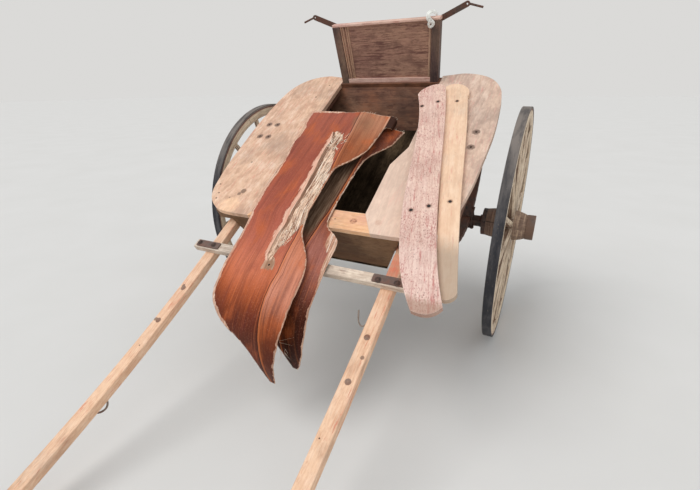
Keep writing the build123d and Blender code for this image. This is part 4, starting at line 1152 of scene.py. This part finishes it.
def dome(mesh, place, axis, radius, height):
    """A round bolt head."""
    steps = 5
    outline = [(radius, -0.002), (radius, height * 0.15)]
    for step in range(1, steps):
        angle = math.pi / 2 * step / steps
        outline.append((radius * math.cos(angle), height * (0.15 + 0.85 * math.sin(angle))))
    outline.append((radius * 0.12, height))
    lathe(mesh, place, axis, outline)


def nut(mesh, place, axis, radius, height, stub, turn):
    """A six-sided nut on a washer, with the bolt's end standing out of it."""
    wide, tip = radius * 1.35, height + stub
    lathe(mesh, place, axis, [(wide, -0.001), (wide, 0.0016), (radius * 1.25, 0.0022)])
    outline = [(radius * 0.94, 0.002), (radius, 0.0032), (radius, height), (radius * 0.86, height + 0.0016)]
    lathe(mesh, place, axis, outline, 6, turn)
    lathe(mesh, place, axis, [(radius * 0.5, 0.0), (radius * 0.5, tip), (radius * 0.4, tip + 0.001)], 14)


def skin(mesh, rings, smooth):
    """Bridges rings of vertices into a closed skin."""
    loops = []
    for ring in rings:
        loops.append([mesh.edges.new(pair) for pair in zip(ring, ring[1:] + ring[:1])])
    for first, second in zip(loops, loops[1:]):
        for face in bmesh.ops.bridge_loops(mesh, edges=first + second)["faces"]:
            face.smooth = smooth
    for ring in (rings[0], rings[-1]):
        mesh.faces.new(ring)


def rod(mesh, places, radius, sides=10, steps=6):
    """A round bar bent along a smooth line through level places."""
    points = [cart_point(*place) for place in places]
    given = [2 * points[0] - points[1], *points, 2 * points[-1] - points[-2]]
    line = []
    for before, start, end, after in zip(given, given[1:], given[2:], given[3:]):
        for step in range(steps):
            t = step / steps
            square = 2 * before - 5 * start + 4 * end - after
            cube = 3 * start - before - 3 * end + after
            line.append(0.5 * (2 * start + (end - before) * t + square * t * t + cube * t ** 3))
    line.append(points[-1])
    side = None
    rings = []
    for number, point in enumerate(line):
        way = (line[min(number + 1, len(line) - 1)] - line[max(number - 1, 0)]).normalized()
        side = way.orthogonal().normalized() if side is None else (side - way * side.dot(way)).normalized()
        other = way.cross(side)
        size = radius * (0.75 if number in (0, len(line) - 1) else 1.0)
        rings.append([mesh.verts.new(point + (side * math.cos(a) + other * math.sin(a)) * size)
                      for a in (2 * math.pi * n / sides for n in range(sides))])
    skin(mesh, rings, True)


# Bolts through the strap plates, with round washers under their round heads
bolts = bmesh.new()
for x, ahead in ((-0.490, 0.820), (-0.410, 0.819), (0.401, 0.827), (0.476, 0.826)):
    lathe(bolts, cart_point(x, ahead, STRAP_TOP), UP, [(0.0125, -0.001), (0.0125, 0.0015), (0.0115, 0.002)])
    dome(bolts, cart_point(x, ahead, STRAP_TOP + 0.001), UP, 0.0095, 0.0065)
finish_piece("strap_bolts", bolts, iron_dark)

# Round bolts sunk in the shafts' upper faces, where the harness loops and the bar stays were screwed down
bolts = bmesh.new()
for name, mount in mounts.items():
    if name.startswith("tug_bolt"):
        axis = Vector(mount["axis"]).normalized()
        if axis.dot(UP) < 0:
            axis = -axis
        place = Vector(mount["pos_m"]) + axis * (SHAFT_HEIGHT / 2)
        lathe(bolts, place, axis, [(0.0112, -0.004), (0.0112, 0.0012), (0.0100, 0.0020), (0.0072, 0.0022),
                                   (0.0066, 0.0012)])
        dome(bolts, place + axis * 0.0005, axis, 0.0062, 0.0035)
finish_piece("shaft_bolts", bolts, iron_worn)

# Nuts under the axle clips, each turned another way
CLIP_BOLTS_ACROSS = (0.4975, 0.5525)
CLIP_BOLTS_AHEAD = (-0.026, 0.026)
CLIP_FOOT = -0.029
nuts = bmesh.new()
for side in (-1, 1):
    for x in CLIP_BOLTS_ACROSS:
        for ahead in CLIP_BOLTS_AHEAD:
            nut(nuts, cart_point(side * x, ahead, CLIP_FOOT), -UP, 0.0085, 0.0068, 0.001, x + ahead)
finish_piece("axle_clip_nuts", nuts, iron_rusty)

# A hook left under the right shaft and a staple under the left one
hooks = bmesh.new()
rod(hooks, ((0.416, 0.953, 0.468), (0.402, 0.957, 0.453), (0.388, 0.972, 0.439), (0.372, 0.979, 0.433),
            (0.358, 0.969, 0.441), (0.353, 0.950, 0.456), (0.351, 0.934, 0.468)), 0.0032)
rod(hooks, ((-0.442, 1.540, 0.500), (-0.440, 1.541, 0.484), (-0.432, 1.552, 0.470), (-0.428, 1.570, 0.466),
            (-0.434, 1.588, 0.472), (-0.442, 1.596, 0.486), (-0.444, 1.597, 0.503)), 0.0038)
finish_piece("harness_hooks", hooks, iron_wire)


def seat_point(x, high, proud=0.0):
    """A place on the seat back: across, up its front face, and proud of it."""
    sine, cosine = math.sin(SEAT_BACK_LEAN), math.cos(SEAT_BACK_LEAN)
    return cart_point(x, SEAT_BACK_AHEAD - high * sine + proud * cosine,
                      WING_TOP + high * cosine + proud * sine)


def moulding(mesh, levels, valley, bead, beads):
    """A strip with round beads between two levels, each a height and the x of the strip's sides there."""
    section = []
    for number in range(beads):
        for step in range(7):
            angle = math.pi * step / 6
            section.append(((number + 0.5 - 0.46 * math.cos(angle)) / beads, math.sin(angle)))
    rings = []
    for high, start, stop in levels:
        outer = [seat_point(start + (stop - start) * share, high, valley + (bead - valley) * rise)
                 for share, rise in section]
        inner = [seat_point(stop, high, valley - 0.004), seat_point(start, high, valley - 0.004)]
        rings.append([mesh.verts.new(point) for point in outer + inner])
    skin(mesh, rings, False)


# Mouldings of the seat back, between posts that splay outward. Each row is the side of the cart, how far
# the strip's sides lie from the post at its foot and at its head, how deep its valleys and beads lie, and
# how many beads it has
LOW, HIGH = 0.026, 0.2985
POST_FOOT, POST_SPLAY, POST_HEIGHT = 0.243, 0.018, 0.299
POST_LOW, POST_HIGH = (POST_FOOT + high * POST_SPLAY / POST_HEIGHT for high in (LOW, HIGH))
strips = bmesh.new()
for side, foot, head, valley, bead, beads in (
        (-1, (0.0, 0.024), (0.0, 0.024), -0.012, -0.001, 2),
        (-1, (0.027, 0.044), (0.030, 0.052), -0.012, -0.006, 2),
        (1, (0.018, 0.0), (0.018, 0.0), -0.012, -0.004, 1)):
    moulding(strips, [(LOW, *[side * (POST_LOW - away) for away in foot]),
                      (HIGH, *[side * (POST_HIGH - away) for away in head])], valley, bead, beads)
finish_piece("seat_back_mouldings", strips, moulding_wood)


THREADS = 5200


def cloth_cotton():
    """White cotton, plainly woven and a little soiled."""
    s = new_finish("cloth_cotton")
    place = s.node("TexCoord")[3]
    x, y, z = s.split(place)
    weave = s.math("SINE", x * THREADS) * s.math("SINE", z * THREADS)
    soil = s.noise(place, 40)
    paint = s.mix(s.step(soil, 0.4, 0.75, 0, 0.6), (242, 242, 236), (196, 190, 178))
    return s.finish(paint, 0.9, weave + soil * 2, 0.0006, 0.5)


# The strip of cotton tied over the seat back's cap: its middle line as (across, height, proud) on the seat
# back, with the way that its face looks and half its width
CLOTH_PATH = (
    ((0.2808, 0.3037, -0.047), (0.3, 0.1, -1.0), 0.0090),
    ((0.2794, 0.3193, -0.042), (0.7, 0.5, 0.3), 0.0110),
    ((0.2700, 0.3348, -0.024), (0.3, 0.6, 0.7), 0.0120),
    ((0.2548, 0.3376, -0.004), (-0.1, 0.5, 0.87), 0.0125),
    ((0.2435, 0.3281, 0.010), (-0.4, 0.3, 0.87), 0.0125),
    ((0.2476, 0.3124, 0.016), (-0.2, 0.0, 1.0), 0.0120),
    ((0.2603, 0.2996, 0.014), (0.1, 0.2, 1.0), 0.0100),
    ((0.2714, 0.2894, 0.011), (0.4, 0.1, 0.9), 0.0085),
    ((0.2692, 0.2783, 0.012), (0.4, -0.3, 0.85), 0.0075),
    ((0.2569, 0.2718, 0.016), (0.0, -0.4, 0.9), 0.0070),
    ((0.2489, 0.2819, 0.021), (-0.4, 0.0, 0.9), 0.0070),
    ((0.2542, 0.2947, 0.024), (-0.2, 0.2, 1.0), 0.0070),
    ((0.2635, 0.3057, 0.027), (0.0, 0.3, 1.0), 0.0065),
)


def cloth_ribbon(path):
    """A strip of thin cloth along a smooth line, puckered across its width, and its length."""
    lines = [smooth_line(pairs, 10) for pairs in (
        [place[:2] for place, way, half in path], [(place[2], half) for place, way, half in path],
        [way[:2] for place, way, half in path], [(way[2], 0.0) for place, way, half in path])]
    centre = np.column_stack([lines[0], lines[1][:, 0]])
    half = lines[1][:, 1]
    face = np.column_stack([lines[2], lines[3][:, 0]])
    mesh = bmesh.new()
    bmesh.ops.create_grid(mesh, x_segments=8, y_segments=len(centre) - 1, size=1.0)
    lengths = path_lengths(centre)
    for vert in mesh.verts:
        share = vert.co.x
        number = round((vert.co.y + 1) / 2 * (len(centre) - 1))
        way = Vector(centre[min(number + 1, len(centre) - 1)] - centre[max(number - 1, 0)]).normalized()
        out = Vector(face[number])
        out = (out - way * out.dot(way)).normalized()
        length = lengths[number]
        pleat = 0.0014 * math.sin(2.4 * math.pi * share + 50 * length)
        pleat += 0.0016 * noise.noise(Vector((length * 90, share * 1.6, 3.0)))
        aside = way.cross(out) * half[number] * share
        vert.co = seat_point(*(Vector(centre[number]) + aside + out * (pleat - 0.003 * share * share)))
    for face in mesh.faces:
        face.smooth = True
    return mesh, float(lengths[-1])


cloth_mesh, cloth_length = cloth_ribbon(CLOTH_PATH)
cloth = finish_piece("cloth_tied", cloth_mesh, cloth_cotton())
thickness = cloth.modifiers.new("thickness", "SOLIDIFY")
thickness.thickness = 0.0012
thickness.offset = 0.0
rounding = cloth.modifiers.new("rounding", "SUBSURF")
rounding.levels = rounding.render_levels = 1
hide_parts("cloth_strip")


# Floor, light and camera

s = new_finish("studio_floor")
mottle = s.noise(s.node("TexCoord")[3], 1.5, 3)
s.put(s.tree.nodes["Principled BSDF"].inputs["Base Color"], s.mix(mottle, (212, 210, 206), (220, 218, 215)))
s.put(s.tree.nodes["Principled BSDF"].inputs["Roughness"], 0.9)
floor_mesh = bmesh.new()
bmesh.ops.create_grid(floor_mesh, x_segments=8, y_segments=8, size=60.0)
new_piece("studio_floor", floor_mesh, s.material)

# The sky is brighter to the camera than it is on the cart
world = bpy.data.worlds.new("studio")
bpy.context.scene.world = world
world.use_nodes = True
sky = Shader(world.node_tree)
background = world.node_tree.nodes["Background"].inputs
rays = {ray.socket.name: ray for ray in sky.node("LightPath")}
camera_ray = rays["Is Camera Ray"]
seen = sky.most(camera_ray, sky.most(rays["Is Glossy Ray"], rays["Is Transmission Ray"]))
sky.put(background["Color"], sky.mix(seen, (248.1528, 251.6073, 255), (216, 215, 213)))
sky.put(background["Strength"], 0.62 + camera_ray * 0.41)


def sun(name, strength, width, towards):
    """A broad distant lamp shining towards a direction."""
    light = bpy.data.lights.new(name, "SUN")
    light.energy = strength
    light.angle = math.radians(width)
    lamp = bpy.data.objects.new(name, light)
    lamp.rotation_euler = Vector(towards).to_track_quat("-Z", "Y").to_euler()
    bpy.context.scene.collection.objects.link(lamp)


sun("key", 1.5, 40, (0.45, 0.55, -1.0))
sun("fill", 0.5, 70, (-0.7, 0.4, -0.5))

# The camera stands where the photo was taken
camera_data = bpy.data.cameras.new("camera")
camera_data.lens = 21.372
camera_data.sensor_width = 36.0
camera = bpy.data.objects.new("camera", camera_data)
camera_right = Vector((0.89413463, 0.44771212, -0.00878177))
camera_up = Vector((-0.15159339, 0.32108676, 0.93483835))
turn_matrix = Matrix((camera_right, camera_up, camera_right.cross(camera_up))).transposed().to_4x4()
camera.matrix_world = Matrix.Translation((0.9371, -1.4985, 1.2944)) @ turn_matrix
bpy.context.scene.collection.objects.link(camera)
bpy.context.scene.camera = camera
bpy.context.scene.view_settings.view_transform = "Standard"
